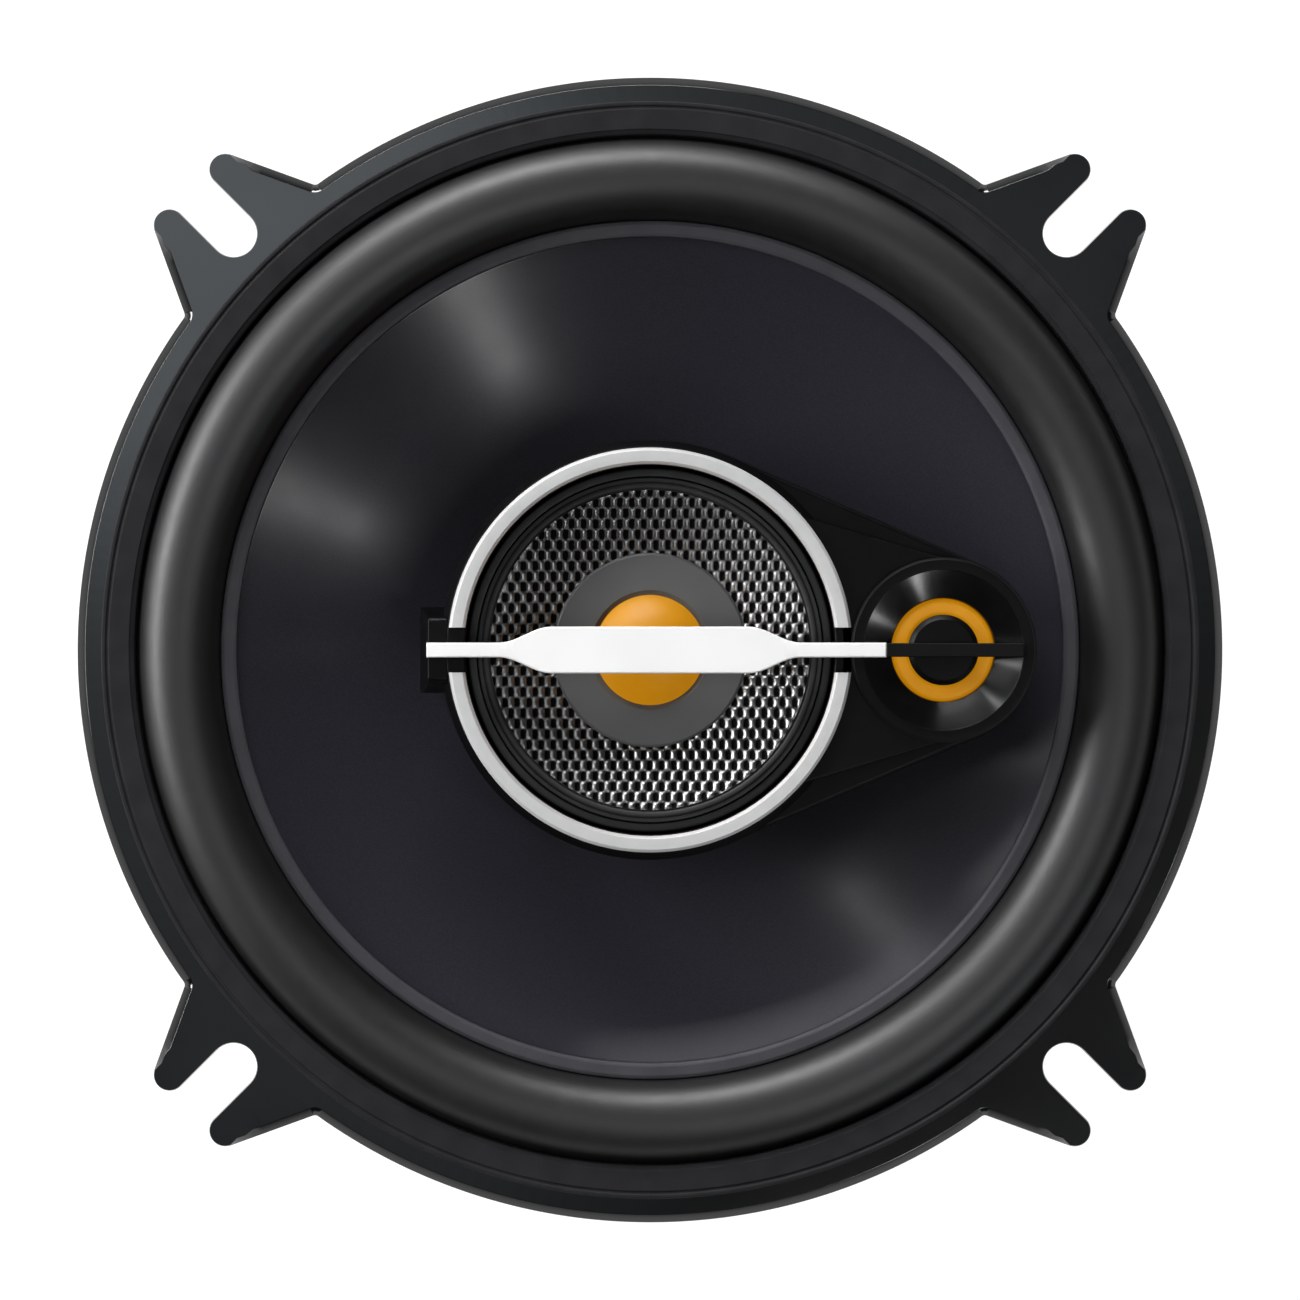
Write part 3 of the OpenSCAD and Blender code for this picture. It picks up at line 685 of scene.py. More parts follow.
def windows():
    """The four cutters that open the skirt between the spokes, with rounded corners."""
    def spoke_edge(radius):
        """The angle between a spoke's middle and its edge. Spokes widen outwards."""
        half = 6 + (radius * 0.985 - 37.5) * 4.5 / 20.5
        return math.degrees(math.asin(half / radius))

    parts = []
    for spoke in SPOKES:
        inner, outer = spoke_edge(WINDOW_IN), spoke_edge(WINDOW_OUT)
        far = arc(WINDOW_OUT, spoke + outer, spoke + 90 - outer, 16)
        near = arc(WINDOW_IN, spoke + 90 - inner, spoke + inner, 16)
        points = [(*p, 2.6 if i in (0, 16, 17, 33) else 0.0) for i, p in enumerate(far + near)]
        parts.append(cutter("window", rounded(points, 0, 8), -21.5, -1.5))
    return join("windows", parts)


def rib(spoke):
    """A half-round bead pressed out of the back of a spoke."""
    bm = bmesh.new()
    normal = Vector((SKIRT_DROP, 0, -1)).normalized()
    rings = []
    for k in range(29):
        t = k / 28
        radius = LEDGE_R + 0.6 + t * (WALL_R - 1.2 - LEDGE_R - 0.6)
        swell = math.sqrt(max(0.0, 1 - abs(2 * t - 1) ** 6))
        half, height = (1.6 + t) * (0.3 + 0.7 * swell), 1.25 * swell
        base = Vector((radius, 0, LEDGE_Z + (radius - LEDGE_R) * SKIRT_DROP + 0.25))
        ring = []
        for step in range(13):
            turn = math.pi * step / 12
            ring.append(bm.verts.new(base + Vector((0, half * math.cos(turn), 0))
                                     + normal * (0.25 + height) * math.sin(turn)))
        rings.append(ring)
    skin(bm, rings)
    bm.transform(Matrix.Rotation(math.radians(spoke), 4, "Z"))
    return add_mesh("rib", bm)


def on_board(u):
    """Turns a drawing in (v, z) on the terminal board's spoke into the part's frame, u from the axis."""
    turn = Matrix((BOARD_ACROSS, (0, 0, 1), BOARD_OUT)).transposed().to_4x4()
    return Matrix.Translation(BOARD_OUT * u) @ turn


def box_outline(low, high, radius=0.0, steps=5):
    corners = [(low[0], low[1]), (high[0], low[1]), (high[0], high[1]), (low[0], high[1])]
    return rounded(corners, radius, steps) if radius else [Vector(c) for c in corners]


TAB_U, BOARD_U, BLADE_U, BLADE_T = 45.4, 46.6, 48.2, 0.8
BOARD_RIVETS = (-20, -25.4)
BLADE_V, LUG_RIVET_Z = 7.2, -21
# The bores that the board's rivets and the eyelets go through.
RIVET_BORE, EYELET_BORE = 1.4, 1.3
ON_BOARD = on_board(0)


def rivet_holes(low, high):
    return join("holes", [cutter("hole", circle(1.5, 32, point), low, high) for point in BASE_RIVETS])


def basket():
    wall = cut(shell_wall(), windows())
    tab = plate("tab", rounded([(-4.5, -28, 1.5), (4.5, -28, 1.5), (4.5, -14, 0.2), (-4.5, -14, 0.2)], 1),
                0, SHEET, 0.15, [circle(RIVET_BORE, 32, (0, z)) for z in BOARD_RIVETS], on_board(TAB_U))
    wall = cut(wall, rivet_holes(FLOOR_Z - 1, FLOOR_Z + 3))
    piece = join("basket_pressing", [wall, flange(), tab, *[rib(spoke) for spoke in SPOKES]])
    place(piece, "frame", "frame_paint", "basket")


def gasket():
    """The ring on the flange, with a fine groove near its outer edge."""
    low, high = SHEET + 0.5, SHEET + 2.8
    piece = lathe("rim_gasket", rounded([
        (60.1, low, 0.1), (64, low, 0.1), (64, high, 0.35), (63.55, high, 0.12), (63.4, high - 0.16, 0.12),
        (63.2, high - 0.16, 0.12), (63.05, high, 0.12), (60.75, high, 0.12), (60.65, high - 0.12, 0.1),
        (60.1, high - 0.35, 0.3),
    ], 0.1))
    place(piece, "frame", "gasket_rubber", "gasket")


# ---- cone driver

ROLL_MID, ROLL_R, RUBBER = 55.1, 4.9, 0.5
NECK_R, NECK_Z = 13.35, -13.6
FORMER_R, COIL_T = 12.65, 0.65


def roll_edge():
    """The half-round rubber roll, with small fillets where it meets its two flat lands."""
    over = math.degrees(math.asin(RUBBER / ROLL_R))
    outside = arc(ROLL_R, over + 4, 176 - over, 44, (ROLL_MID, SHEET))
    inside = arc(ROLL_R - RUBBER, 172, 8, 40, (ROLL_MID, SHEET))
    top, low = SHEET + RUBBER, SHEET
    outline = [(63.8, low, 0.1), (63.8, top, 0.15), (59.95, top, 0.3)]
    outline += [(*p, 0) for p in outside]
    outline += [(50.25, top, 0.3), (48.3, top, 0.1), (48.3, low, 0.1), (50.75, low, 0.3)]
    outline += [(*p, 0) for p in inside]
    outline += [(59.45, low, 0.3)]
    piece = lathe("roll_edge", rounded(outline, 0.1))
    place(piece, None, "roll_rubber", "surround")
    blend_by_radius(piece)


def glue_ring():
    """The narrow ring where the roll edge is glued to the cone."""
    low, high = SHEET + RUBBER, SHEET + RUBBER + 0.6
    piece = lathe("glue_ring", rounded([
        (48.2, low, 0.1), (50.2, low, 0.1), (50.1, high - 0.15, 0.2), (49.7, high, 0.3), (48.7, high, 0.3),
        (48.3, high - 0.15, 0.2),
    ], 0.1))
    place(piece, "cone_assembly", "edge_adhesive", "edge_ring")


def cone():
    """The glossy cone."""
    piece = lathe("cone_body", rounded([
        (50.2, SHEET, 0.1),
        (48.2, SHEET, 0.5),
        (NECK_R, NECK_Z, 1.2),
        (FORMER_R, NECK_Z, 0),
        (FORMER_R, -16, 0),
        (FORMER_R + 0.6, -16, 0.2),
        (FORMER_R + 0.6, NECK_Z - 1, 1.0),
        (48.6, SHEET - 0.6, 0.9),
        (50.2, SHEET - 0.6, 0.1),
    ], 0.1))
    place(piece, "cone_assembly", "cone_polymer", "cone")


def spider():
    """The corrugated cloth disc that centres the coil."""
    inner, outer, rise, thick, waves = 15, 32.6, 1.5, 0.5, 5
    base = LEDGE_Z + SHEET

    def height(radius):
        t = (radius - inner) / (outer - inner)
        return rise * (1 - math.cos(TURN * waves * t)) / 2 if 0 < t < 1 else 0

    radii = [FORMER_R, 13.8] + [inner + (outer - inner) * k / 110 for k in range(111)] + [34, 36, 38.5]
    top = [Vector((r, base + thick + height(r))) for r in radii]
    bottom = [Vector((r, base + height(r))) for r in radii[::-1]]
    piece = lathe("spider_cloth_disc", top + bottom, 240)
    place(piece, None, "spider_cloth", "spider")
    blend_by_radius(piece)


def former_and_coil():
    """The film tube on the cone, and the coil wound on it."""
    bore, foot, top = FORMER_R - 0.2, -31, -11.5
    tube = rounded([(bore, foot), (FORMER_R, foot), (FORMER_R, top), (bore, top)], 0.04, 2)
    place(lathe("former_tube", tube), "cone_assembly", "former_film", "coil_former")
    turns, low, high = 40, -30.5, -21
    pitch = (high - low) / turns
    wire = []
    for k in range(turns):
        wire += arc(pitch / 2, -90, 90, 6, (FORMER_R + COIL_T - pitch / 2, low + pitch * (k + 0.5)))[:-1]
    outline = [Vector((FORMER_R, low))] + wire + [Vector((FORMER_R, high))]
    coil = lathe("coil_winding", outline, COARSE)
    place(coil, "cone_assembly", "winding", "voice_coil")


def tinsel():
    """Two twisted leads from the terminals to the cone."""
    route = [(48.6, 7.2, -14.6), (48.4, 10.6, -12.6), (45.5, 12, -10.6), (40, 11.5, -9.4), (35, 9.5, -8),
             (32.5, 8.6, -6.9)]
    for side, name in ((1, "tinsel_lead_positive"), (-1, "tinsel_lead_negative")):
        points = [BOARD_OUT * u + BOARD_ACROSS * (side * v) + Vector((0, 0, z)) for u, v, z in route]
        piece = braid(name, smooth_path(points), 0.5)
        place(piece, None, "tinsel_braid", "tinsel_leads")
        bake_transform(piece)


# ---- motor

PLATE_R, PLATE_LOW = 36, -28
MAGNET_LOW, BACK_Z = -41, -46
POLE_Z, STUD_R = -22.8, 4.5


def motor():
    """The front plate, the ring magnet, the back plate with its pole, and the rivets through the frame."""
    front = lathe("front_plate", rounded([
        (14, FLOOR_Z), (PLATE_R, FLOOR_Z, 0.6), (PLATE_R, PLATE_LOW, 0.6), (14, PLATE_LOW),
    ], 0.3))
    cut(front, rivet_holes(PLATE_LOW - 1, FLOOR_Z + 1))
    place(front, "frame", "plated_steel", "top_plate")

    magnet = lathe("ring_magnet", rounded([
        (18, MAGNET_LOW, 0.4), (38, MAGNET_LOW, 0.35), (39, MAGNET_LOW + 1, 0.35), (39, PLATE_LOW - 1, 0.35),
        (38, PLATE_LOW, 0.35), (18, PLATE_LOW, 0.4),
    ], 0.4))
    place(magnet, "frame", "ferrite", "magnet_ring")

    back = lathe("back_plate_and_pole", rounded([
        (STUD_R + 0.2, POLE_Z, 0.2), (12, POLE_Z, 0.6), (12, MAGNET_LOW, 0.3), (PLATE_R, MAGNET_LOW, 0.4),
        (PLATE_R, BACK_Z + 1.2, 0.6), (PLATE_R - 1.2, BACK_Z, 0.6), (9, BACK_Z, 0.4), (9, BACK_Z + 5.6, 0.1),
        (STUD_R + 0.2, BACK_Z + 5.6, 0.1),
    ], 0.3))
    wire_groove = box_outline((-1.5, BACK_Z - 1), (1.5, BACK_Z + 1.8), 0.5)
    cut(back, plate("groove", wire_groove, 0, 50, 0.01, (), ON_BOARD))
    place(back, "frame", "plated_steel", "back_yoke")

    low, high = PLATE_LOW, FLOOR_Z + SHEET
    rivet = rounded([
        (0, low, 0), (1.5, low, 0.2), (1.5, high, 0), (2.6, high, 0.15), (2.3, high + 0.45, 0.4),
        (1.2, high + 0.7, 0.4), (0, high + 0.7, 0),
    ], 0)
    heads = [lathe("rivet", rivet, RIVET_SEGMENTS, (x, y)) for x, y in BASE_RIVETS]
    place(join("basket_rivet_heads", heads), "frame", "rivet_steel", "basket_rivets")


def post():
    """The hollow post that carries the pod, and its nut."""
    piece = lathe("hollow_post", rounded([
        (2.2, -44.4, 0.2), (4.1, -44.4, 0.2), (4.5, -44, 0.2), (4.5, POLE_Z, 0), (10, POLE_Z, 0.2),
        (10, POLE_Z + 1.6, 0.4), (7, POLE_Z + 3.4, 0.8), (7, -5, 0.2), (2.2, -5, 0.2),
    ], 0.2), 144)
    place(piece, "frame", "post_alloy", "tweeter_post")
    hexagon = [(*p, 0.5) for p in circle(7.5, 6)]
    nut = plate("hex_nut", rounded(hexagon, 0.5), -44.4, -40.4, 0.35, [circle(STUD_R, 64)])
    place(nut, "frame", "plated_steel", "post_nut")


# ---- terminals


def stud(points, v, z):
    """A turned piece whose axis points out from the speaker, at (v, z) on the terminal board."""
    piece = lathe("stud", rounded(points, 0), RIVET_SEGMENTS)
    piece.data.transform(Matrix.Scale(1 / MM, 4))
    piece.data.transform(ON_BOARD @ Matrix.Translation((v, z, 0)))
    piece.data.transform(Matrix.Scale(MM, 4))
    return piece


def blade_outline(v, half):
    """A spade blade's outline: solder lug, shoulders and a tapered end."""
    corners = [
        (half, -36.6, 0.5), (half - 0.8, -38, 0.3), (0.8 - half, -38, 0.3), (-half, -36.6, 0.5),
        (-half, -18.2, 0.6), (-1.5, -18.2, 0.4), (-1.5, -15.4, 1.2), (1.5, -15.4, 1.2), (1.5, -18.2, 0.4),
        (half, -18.2, 0.6),
    ]
    return rounded([(v + x, z, r) for x, z, r in corners], 0.4)


def terminals():
    """The terminal board, its two spade blades, and the rivets and eyelets that hold them."""
    holes = [circle(RIVET_BORE, 32, (0, z)) for z in BOARD_RIVETS]
    holes += [circle(EYELET_BORE, 32, (v, LUG_RIVET_Z)) for v in (-BLADE_V, BLADE_V)]
    strip = box_outline((-11, -29.5), (19.5, -16.4), 1.0)
    board = plate("terminal_strip", strip, BOARD_U, BLADE_U, 0.12, holes, ON_BOARD)
    place(board, "frame", "board_laminate", "terminal_board")

    front = BLADE_U + BLADE_T
    for name, v, half in (("positive", BLADE_V, 3.15), ("negative", -BLADE_V, 2.4)):
        holes = [circle(EYELET_BORE, 32, (v, LUG_RIVET_Z)), circle(0.8, 24, (v, -34))]
        blade = plate(name + "_blade", blade_outline(v, half), BLADE_U, front, 0.12, holes, ON_BOARD)
        place(blade, "frame", "terminal_brass", name + "_terminal")

    rivets = [stud([
        (0, TAB_U - 0.7, 0), (2.1, TAB_U - 0.7, 0.4), (2.1, TAB_U, 0), (RIVET_BORE, TAB_U, 0),
        (RIVET_BORE, BLADE_U, 0), (2.5, BLADE_U, 0.15), (2.3, BLADE_U + 0.45, 0.35),
        (1.3, BLADE_U + 0.8, 0.5), (0, BLADE_U + 0.8, 0),
    ], 0, z) for z in BOARD_RIVETS]
    place(join("board_rivet_heads", rivets), "frame", "rivet_steel", "board_rivets")

    eyelets = [stud([
        (0, BOARD_U - 0.6, 0), (2, BOARD_U - 0.6, 0.3), (2, BOARD_U, 0), (EYELET_BORE, BOARD_U, 0),
        (EYELET_BORE, front, 0), (2.1, front, 0.15), (2.0, front + 0.4, 0.3), (1.5, front + 0.6, 0.25),
        (1.0, front + 0.45, 0.15), (0.8, front + 0.05, 0.1), (0, front + 0.05, 0),
    ], v, LUG_RIVET_Z) for v in (-BLADE_V, BLADE_V)]
    place(join("terminal_eyelets", eyelets), "frame", "terminal_brass", "terminal_rivets")


def board_points(points):
    return [ON_BOARD @ Vector((v, z, u)) for u, v, z in points]


def capacitor():
    """A small electrolytic can in its shrunk sleeve, with its two leads."""
    u, v, r = BLADE_U + 3.3, 15.2, 3.3
    centre = BOARD_OUT * u + BOARD_ACROSS * v
    piece = lathe("capacitor_can", rounded([
        (0, -28.9, 0), (2.0, -28.9, 0.2), (2.3, -29, 0.2), (2.7, -29, 0.2), (r, -28.4, 0.4), (r, -19.2, 0.3),
        (r - 0.3, -18.8, 0.3), (r, -18.4, 0.3), (r, -17.6, 0.4), (2.7, -17, 0.2), (2.35, -17, 0.2),
        (2.25, -17.3, 0.1), (0, -17.3, 0),
    ], 0.2), COARSE, centre)
    place(piece, "frame", "capacitor_sleeve", "capacitor")
    upper = [(u, v, -17.2), (u, v, -15), (u - 2.2, 12, -15), (BLADE_U + 1.2, 9, -16.6)]
    lower = [(u, v, -28.8), (u, v, -30.6), (BOARD_U - 0.6, v, -30.6)]
    leads = tubes("capacitor_wires", [bent_path(board_points(p), 0.9) for p in (upper, lower)], 0.35)
    place(leads, "frame", "tinned_wire", "capacitor_leads")


def tweeter_wires():
    """Two sleeved wires from the tweeter down the post, along the back plate and up to the terminals."""
    low, top, side = BACK_Z + 0.8, -3.4, 40
    ends = [
        [(BOARD_U - 1.2, -6, -26), (BOARD_U - 1.1, -BLADE_V, -21.4)],
        [(BOARD_U - 1.8, 12, -31.6), (BOARD_U - 0.9, 15.2, -31.4)],
    ]
    paths = []
    for v, end in zip((-0.7, 0.7), ends):
        inside = [Vector((12.2, v, 2.4)), Vector((12.2, v, top))]
        outside = board_points([(0, v, top), (0, v, low), (side, v, low), (side, v, -32.5)] + end)
        paths.append(bent_path(inside + outside, 1.0))
    place(tubes("tweeter_wires", paths, 0.42), "frame", "wire_sleeve", "tweeter_leads")
    paths = [bent_path([(13.4, s, 2.4), (15.6, s, 6), (26.6, s, 6)], 1.5) for s in (-0.7, 0.7)]
    place(tubes("super_tweeter_wires", paths, 0.4), "frame", "wire_sleeve", "super_leads")


# ---- pod

POD_R, ARM_R, POD_TOP, SHOULDER = 24.3, 10.9, 10.6, 9.4
POD_BORE, ARM_LOW, POD_FLOOR = 21.4, 4.2, -2.6
PLATEAU_R, PLATEAU_END_R = 19.75, 10.2
HORN_FACE, BAR_TOP, BAR_END = 11.6, 12.4, 27.3


def taper_outline(big, small, from_big=None):
    """Round the arm's end and back along the lines that touch both circles. With from_big, the outline starts
    where those lines leave a circle of that radius round the pod."""
    touch = math.degrees(math.acos((big - small) / ARM_X))
    end = arc(small, -touch, touch, 60, (ARM_X, 0))
    if from_big is None:
        return end + arc(big, touch, 360 - touch, 150)
    angle = touch - math.degrees(math.acos(big / from_big))
    return end + arc(from_big, angle, -angle, 60)


def housing():
    """The moulded pod: a drum, its tapering arm with a raised plateau, and the tab on the left."""
    drum = lathe("drum", rounded([
        (2.6, POD_FLOOR, 0.2), (2.6, -5, 0.1), (7.05, -5, 0.1), (7.05, -8.5, 0.2), (9.5, -8.5, 0.5),
        (9.5, -5, 0.8), (19.5, -5, 1.2), (22.6, -2.5, 2.0), (POD_R, 2, 2.0), (POD_R, SHOULDER, 0.4),
        (POD_R - 0.8, POD_TOP, 0.3), (POD_BORE, POD_TOP, 0.3), (POD_BORE, POD_FLOOR, 0.4),
    ], 0.3))
    cavity = circle(8.85, COARSE, (ARM_X, 0))
    bore = circle(POD_BORE + 0.4, 180)
    arm = plate("arm", taper_outline(POD_R - 0.05, ARM_R), ARM_LOW, SHOULDER, 0.5, [bore], steps=5)
    plateau = plate("plateau", taper_outline(PLATEAU_R, PLATEAU_END_R, 22.2), SHOULDER - 0.3, POD_TOP, 0.22)
    tab = plate("tab", rounded([(-5.2, 0), (5.2, 0), (3.7, 5.6), (-3.7, 5.6)], 0.7), 0, 3.4, 0.25, steps=4)
    tab.data.transform(Matrix.Scale(1 / MM, 4))
    tab.data.transform(Matrix(((0, 0, 1, -26.75), (1, 0, 0, 0), (0, 1, 0, 5), (0, 0, 0, 1))))
    # The tab's outer face leans in towards its top.
    for vertex in tab.data.vertices:
        vertex.co.x += 1.0 * ease((vertex.co.z - 5) / 5.6) * ease((-24 - vertex.co.x) / 2)
    tab.data.transform(Matrix.Scale(MM, 4))
    for part in (arm, plateau):
        cut(part, cutter("cavity", cavity, 5, 20))
    place(join("pod_moulding", [drum, arm, plateau, tab]), "frame", "pod_black", "pod_housing")


def trims():
    """The two silver arcs, bevelled inside and out."""
    low, high, gap, count = POD_TOP - 0.1, POD_TOP + 0.9, 2.6, 200
    section = rounded([
        (21.5, low, 0), (23.4, low, 0), (23.4, high - 0.38, 0.05), (23.08, high, 0.08), (21.82, high, 0.08),
        (21.5, high - 0.38, 0.05),
    ], 0, 3)
    for name, side in (("upper", 1), ("lower", -1)):
        bm = bmesh.new()
        rings = []
        for k in range(count + 1):
            ring = []
            for radius, z in section:
                spare = math.asin(gap / radius)
                turn = side * (spare + (math.pi - 2 * spare) * k / count)
                ring.append(bm.verts.new((radius * math.cos(turn), radius * math.sin(turn), z)))
            rings.append(ring)
        skin(bm, rings)
        place(add_mesh(name + "_silver_arc", bm, 25), "frame", "silver_trim", name + "_trim")


def bars():
    """The white bar that swells into a blank plate, and its thin black extension."""
    thin, wide, start, reach = 0.85, 2.7, 17.5, 6.2
    xs = [-25.8, -22, -19.5] + [-start + 0.3 * k for k in range(117)] + [19.5, 22, BAR_END]
    halves = [thin + (wide - thin) * (1 - math.cos(math.pi * min(1, max(0, (start - abs(x)) / reach)))) / 2
              for x in xs]
    outline = [Vector((x, -h)) for x, h in zip(xs, halves)]
    outline += [Vector((x, h)) for x, h in zip(xs, halves)][::-1]
    bar = plate("blank_name_bar", outline, POD_TOP, BAR_TOP, 0.2, steps=4)
    rim = box_outline((ARM_X - 10.95, -4), (ARM_X, 4))
    cut(bar, cutter("relief", rim, POD_TOP - 1, HORN_FACE + 0.03))
    place(bar, "frame", "bar_white", "name_bar")
    extension = box_outline((BAR_END, -0.8), (43.2, 0.8), 0.15)
    cross = plate("cross_bar_black", extension, HORN_FACE, BAR_TOP, 0.16, steps=4)
    place(cross, "frame", "bar_black", "cross_bar")


# ---- tweeter

DISC_Z = 4.9


def woven_height(x, y):
    """The height of a plain weave, from 0 to 1: rounded pads in staggered rows, with pits between them."""
    across = math.tanh(2 * math.cos(math.pi * y / WEAVE_ACROSS))
    return 0.5 + 0.5 * math.cos(TURN * x / WEAVE_ALONG) * across


def dome_outline(base, rise, thick, z):
    """A thin dome's section, from its crown down and back."""
    ball = (base * base + rise * rise) / (2 * rise)
    centre, within = z + rise - ball, ball - thick
    reach, inner = math.asin(base / ball), math.acos((z - centre) / within)
    outside = [reach * k / 40 for k in range(41)]
    inside = [inner * (1 - k / 30) for k in range(31)]
    return ([Vector((ball * math.sin(t), centre + ball * math.cos(t))) for t in outside]
            + [Vector((within * math.sin(t), centre + within * math.cos(t))) for t in inside])


def tweeter():
    """The tweeter's fixed ring, its roll edge, the woven cone, the grey disc and the amber dome."""
    land = 7.4
    ring = lathe("tweeter_frame_ring", rounded([
        (17.9, POD_FLOOR, 0.2), (21.2, POD_FLOOR, 0.2), (21.2, land, 0.3), (20.15, land, 0.15),
        (20.05, land - 0.25, 0.1), (19.3, land - 0.25, 0.1), (17.9, 5, 0.3),
    ], 0.2))
    cut(ring, cutter("slot", box_outline((17, -1.5), (22, 1.5)), 5.2, 6.8))
    place(ring, "frame", "frame_black", "tweeter_frame")

    crest = land + 0.3
    middle = (19.1, land + 0.1)
    bead = lathe("tweeter_roll", rounded(
        [(18.2, land, 0.1), (18.2, crest, 0.1)] + [(*p, 0) for p in arc(0.5, 155, 25, 12, middle)]
        + [(20.0, crest, 0.1), (20.0, land, 0.1), (19.4, land, 0.05)]
        + [(*p, 0) for p in arc(0.2, 10, 170, 8, middle)] + [(18.8, land, 0.05)], 0.05))
    place(bead, None, "tweeter_rubber", "tweeter_surround")
    blend_by_radius(bead)

    inner, outer, low, high = 11.2, 18.55, 5.6, 8.0
    count, relief, margin = 62, 0.3, 0.25
    seat = DISC_Z + 0.45

    def surface(radius):
        return low + (high - low) * (radius - inner) / (outer - inner)

    def lift(x, y, radius, z):
        """Raises the weave on the cone's face, and fades it out at the face's two edges."""
        if z < surface(radius) - 0.05:
            return 0
        fade = ease((radius - inner) / margin) * ease((outer - radius) / margin)
        return relief * (woven_height(x, y) - 0.6) * fade

    top = [Vector((r, surface(r))) for r in [inner + (outer - inner) * k / count for k in range(count + 1)]]
    under = [Vector(p) for p in ((outer, crest), (18.15, crest), (11.8, seat), (inner, seat))]
    weave = lathe("woven_cone", top + under, 800, sharp=60, lift=lift)
    place(weave, "tweeter_diaphragm", "woven_black", "tweeter_cone")

    disc = lathe("grey_disc", rounded([
        (6.4, DISC_Z, 0.1), (11.3, DISC_Z, 0.1), (11.3, 5.68, 0.05), (11.02, 5.86, 0.05), (6.95, 5.86, 0.1),
        (6.75, 5.68, 0.1), (6.4, 5.5, 0.1),
    ], 0.1))
    place(disc, "tweeter_diaphragm", "disc_grey", "tweeter_disc")
    dome = lathe("amber_dome", dome_outline(6.55, 3, 0.35, seat), 240)
    place(dome, "tweeter_diaphragm", "gold_dome", "tweeter_dome")


def super_tweeter():
    """The glossy horn with its matt rim, the amber ring and the plug in its middle."""
    centre, ledge = (ARM_X, 0), POD_TOP + 0.3
    horn = lathe("glossy_horn", rounded([
        (5.97, 7.8, 0.1), (8.6, 7.8, 0.1), (8.6, ledge, 0), (9.3, ledge, 0), (9.3, HORN_FACE - 0.03, 0.05),
        (6.05, HORN_FACE - 1.34, 0.12), (5.97, HORN_FACE - 1.6, 0.1),
    ], 0.1), FINE, centre)
    place(horn, "frame", "horn_black", "super_horn")

    low, ledge = POD_TOP - 0.02, POD_TOP + 0.35
    rim = lathe("horn_rim", rounded([
        (8.62, low, 0), (10.7, low, 0.05), (10.7, HORN_FACE - 0.28, 0.08), (10.42, HORN_FACE, 0.12),
        (9.25, HORN_FACE, 0.1), (9.25, ledge, 0), (8.62, ledge, 0),
    ], 0), FINE, centre)
    place(rim, "frame", "pod_black", "super_horn")

    flat, crest, thin = 7.2, 9.9, 0.3
    dome = lathe("amber_ring_dome", rounded([
        (7.2, flat, 0.05), (7.2, flat + thin, 0.05), (5.86, flat + thin, 0.1), (5.86, crest - 0.2, 0.2),
        (5.45, crest, 0.5), (4.2, crest - 0.1, 0.5), (3.6, 8.9, 0.6), (0, 8.8, 0), (0, 8.8 - thin, 0),
        (3.7, 8.9 - thin, 0.5), (4.4, crest - 0.1 - thin, 0.3), (5.3, crest - thin, 0.3),
        (5.55, crest - 0.6, 0.2), (5.56, flat, 0.1),
    ], 0.1), 240, centre)
    place(dome, "super_diaphragm", "gold_dome", "super_dome")

    plug = lathe("phase_plug", rounded([
        (0, 9.3, 0), (2.4, 9.3, 0.3), (3.0, 9.8, 0.4), (3.9, HORN_FACE - 1.0, 0.3),
        (4.12, HORN_FACE - 0.5, 0.15), (3.5, HORN_FACE - 0.04, 0.1), (0, HORN_FACE - 0.04, 0),
    ], 0.3), 180, centre)
    place(plug, "frame", "pod_black", "super_plug")


def inner_motors():
    """The small motors inside the pod keep their CAD shapes and take a finish."""
    nodes = {
        "plated_steel": ("tweeter_yoke", "tweeter_pole_plate", "super_yoke"),
        "nickel_magnet": ("tweeter_magnet", "super_magnet"),
        "winding": ("tweeter_coil", "super_coil"),
    }
    for slot, names in nodes.items():
        for name in names:
            for material_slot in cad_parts[name].material_slots:
                material_slot.material = FINISHES[slot]


# ---- stage


def softbox(name, azimuth, height, distance, size, power, colour=(1, 1, 1)):
    """A soft rectangular lamp aimed at the speaker. Azimuth is counted from +X towards +Y, in degrees."""
    light = bpy.data.lights.new(name, "AREA")
    light.shape = "RECTANGLE"
    light.size, light.size_y = size
    light.energy = power
    light.color = colour
    lamp = bpy.data.objects.new(name, light)
    a, h = math.radians(azimuth), math.radians(height)
    lamp.location = distance * Vector((math.cos(h) * math.cos(a), math.cos(h) * math.sin(a), math.sin(h)))
    lamp.rotation_euler = lamp.location.to_track_quat("Z", "Y").to_euler()
    bpy.context.scene.collection.objects.link(lamp)


COOL = (0.86, 0.95, 1.0)
FLOOR_REACH = 3500
# The sky is white near the horizon and dark above it, and fades between these two stops of its ramp.
SKY_FADE = (0.09, 0.17)
DARK_SKY = 0.035


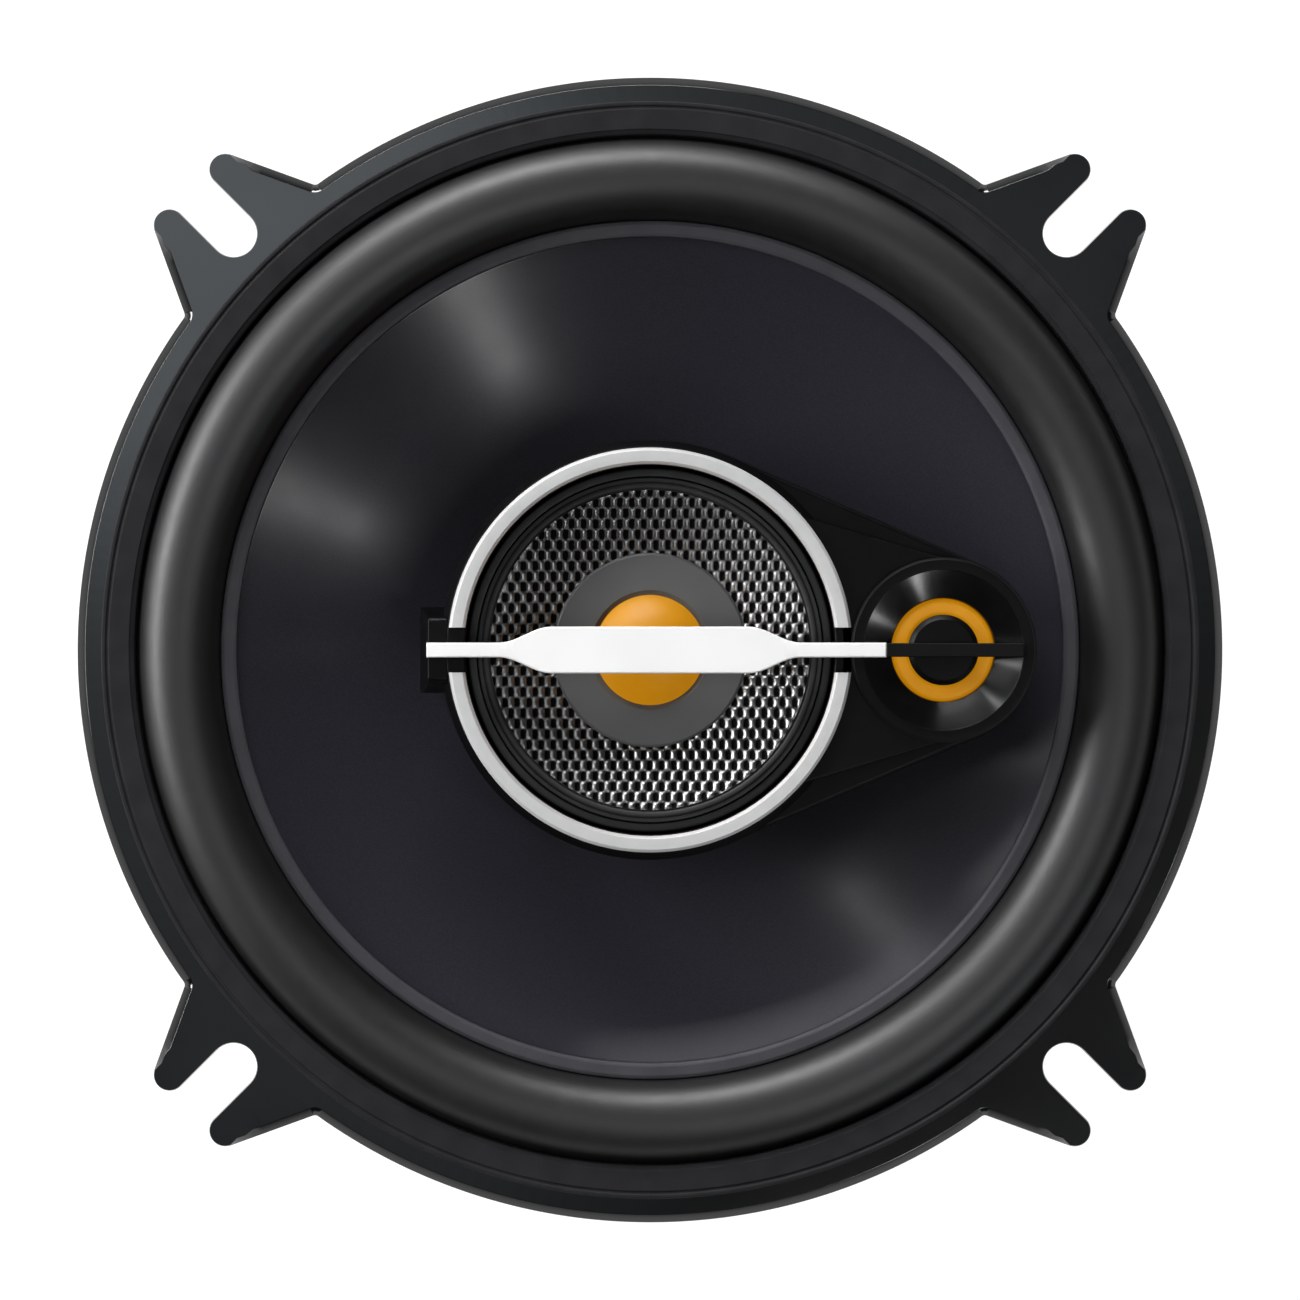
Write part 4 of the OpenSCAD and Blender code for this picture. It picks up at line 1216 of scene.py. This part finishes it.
def studio():
    """A pale floor, soft lights, a sky that is bright near the horizon, and the camera straight above."""
    bm = bmesh.new()
    bmesh.ops.create_grid(bm, x_segments=1, y_segments=1, size=FLOOR_REACH)
    bmesh.ops.translate(bm, verts=bm.verts, vec=(0, 0, BACK_Z))
    floor = add_mesh("studio_floor", bm)
    finish = Finish("floor_white", specular=0.2)
    finish.colour(finish.noise(400), srgb(126, 126, 126), srgb(130, 130, 130))
    finish.rough(finish.noise(60), 0.8, 0.9)
    finish.shader.inputs["Emission Color"].default_value = (1, 1, 1, 1)
    finish.shader.inputs["Emission Strength"].default_value = 0.92
    floor.data.materials.append(finish.material)

    # The keys light the roll edge and the weave, and the gap between them keeps the ears dark.
    softbox("key_upper", 104, 25, 1.3, (0.95, 0.3), 20)
    softbox("key_left", 166, 25, 1.3, (0.95, 0.3), 20)
    # The overhead lights show in the flange.
    softbox("overhead_left", 135, 77, 1.7, (0.24, 0.5), 0.55, COOL)
    softbox("overhead_wide", 135, 86.5, 1.7, (0.5, 0.45), 0.25, COOL)
    # The strips show as streaks on the cone.
    softbox("strip_lower_a", 297, 62, 1.2, (0.08, 0.66), 2.0)
    softbox("strip_lower_b", 337, 62, 1.2, (0.06, 0.66), 1.35)
    softbox("strip_upper", 130, 60, 1.2, (0.05, 0.5), 0.6)
    softbox("strip_left", 167, 58, 1.2, (0.05, 0.5), 0.5)
    softbox("low_lower_right", 315, 14, 1.5, (1.0, 0.1), 1.0, COOL)

    world = bpy.data.worlds.new("studio_world")
    world.use_nodes = True
    bpy.context.scene.world = world
    nodes, links = world.node_tree.nodes, world.node_tree.links
    direction = nodes.new("ShaderNodeTexCoord").outputs["Generated"]
    split = nodes.new("ShaderNodeSeparateXYZ")
    ramp = nodes.new("ShaderNodeValToRGB")
    links.new(direction, split.inputs[0])
    links.new(split.outputs["Z"], ramp.inputs[0])
    for stop, height, grey in zip(ramp.color_ramp.elements, SKY_FADE, (1, DARK_SKY)):
        stop.position, stop.color = height, (grey, grey, grey, 1)
    links.new(ramp.outputs[0], nodes["Background"].inputs["Color"])
    nodes["Background"].inputs["Strength"].default_value = 1.0

    bpy.context.scene.view_settings.view_transform = "Standard"

    # share is how much of the picture the speaker takes.
    lens, sensor, share = 200, 36, 0.88
    camera = bpy.data.cameras.new("camera")
    camera.lens, camera.sensor_width, camera.clip_end = lens, sensor, 20
    eye = bpy.data.objects.new("camera", camera)
    width = max(cad_box[1][0] - cad_box[0][0], cad_box[1][1] - cad_box[0][1])
    eye.location = (0, 0, width / share * lens / sensor)
    bpy.context.scene.collection.objects.link(eye)
    bpy.context.scene.camera = eye


for build in (basket, gasket, roll_edge, glue_ring, cone, spider, former_and_coil, tinsel, motor, post,
              terminals, capacitor, tweeter_wires, housing, trims, bars, tweeter, super_tweeter, inner_motors,
              studio):
    build()
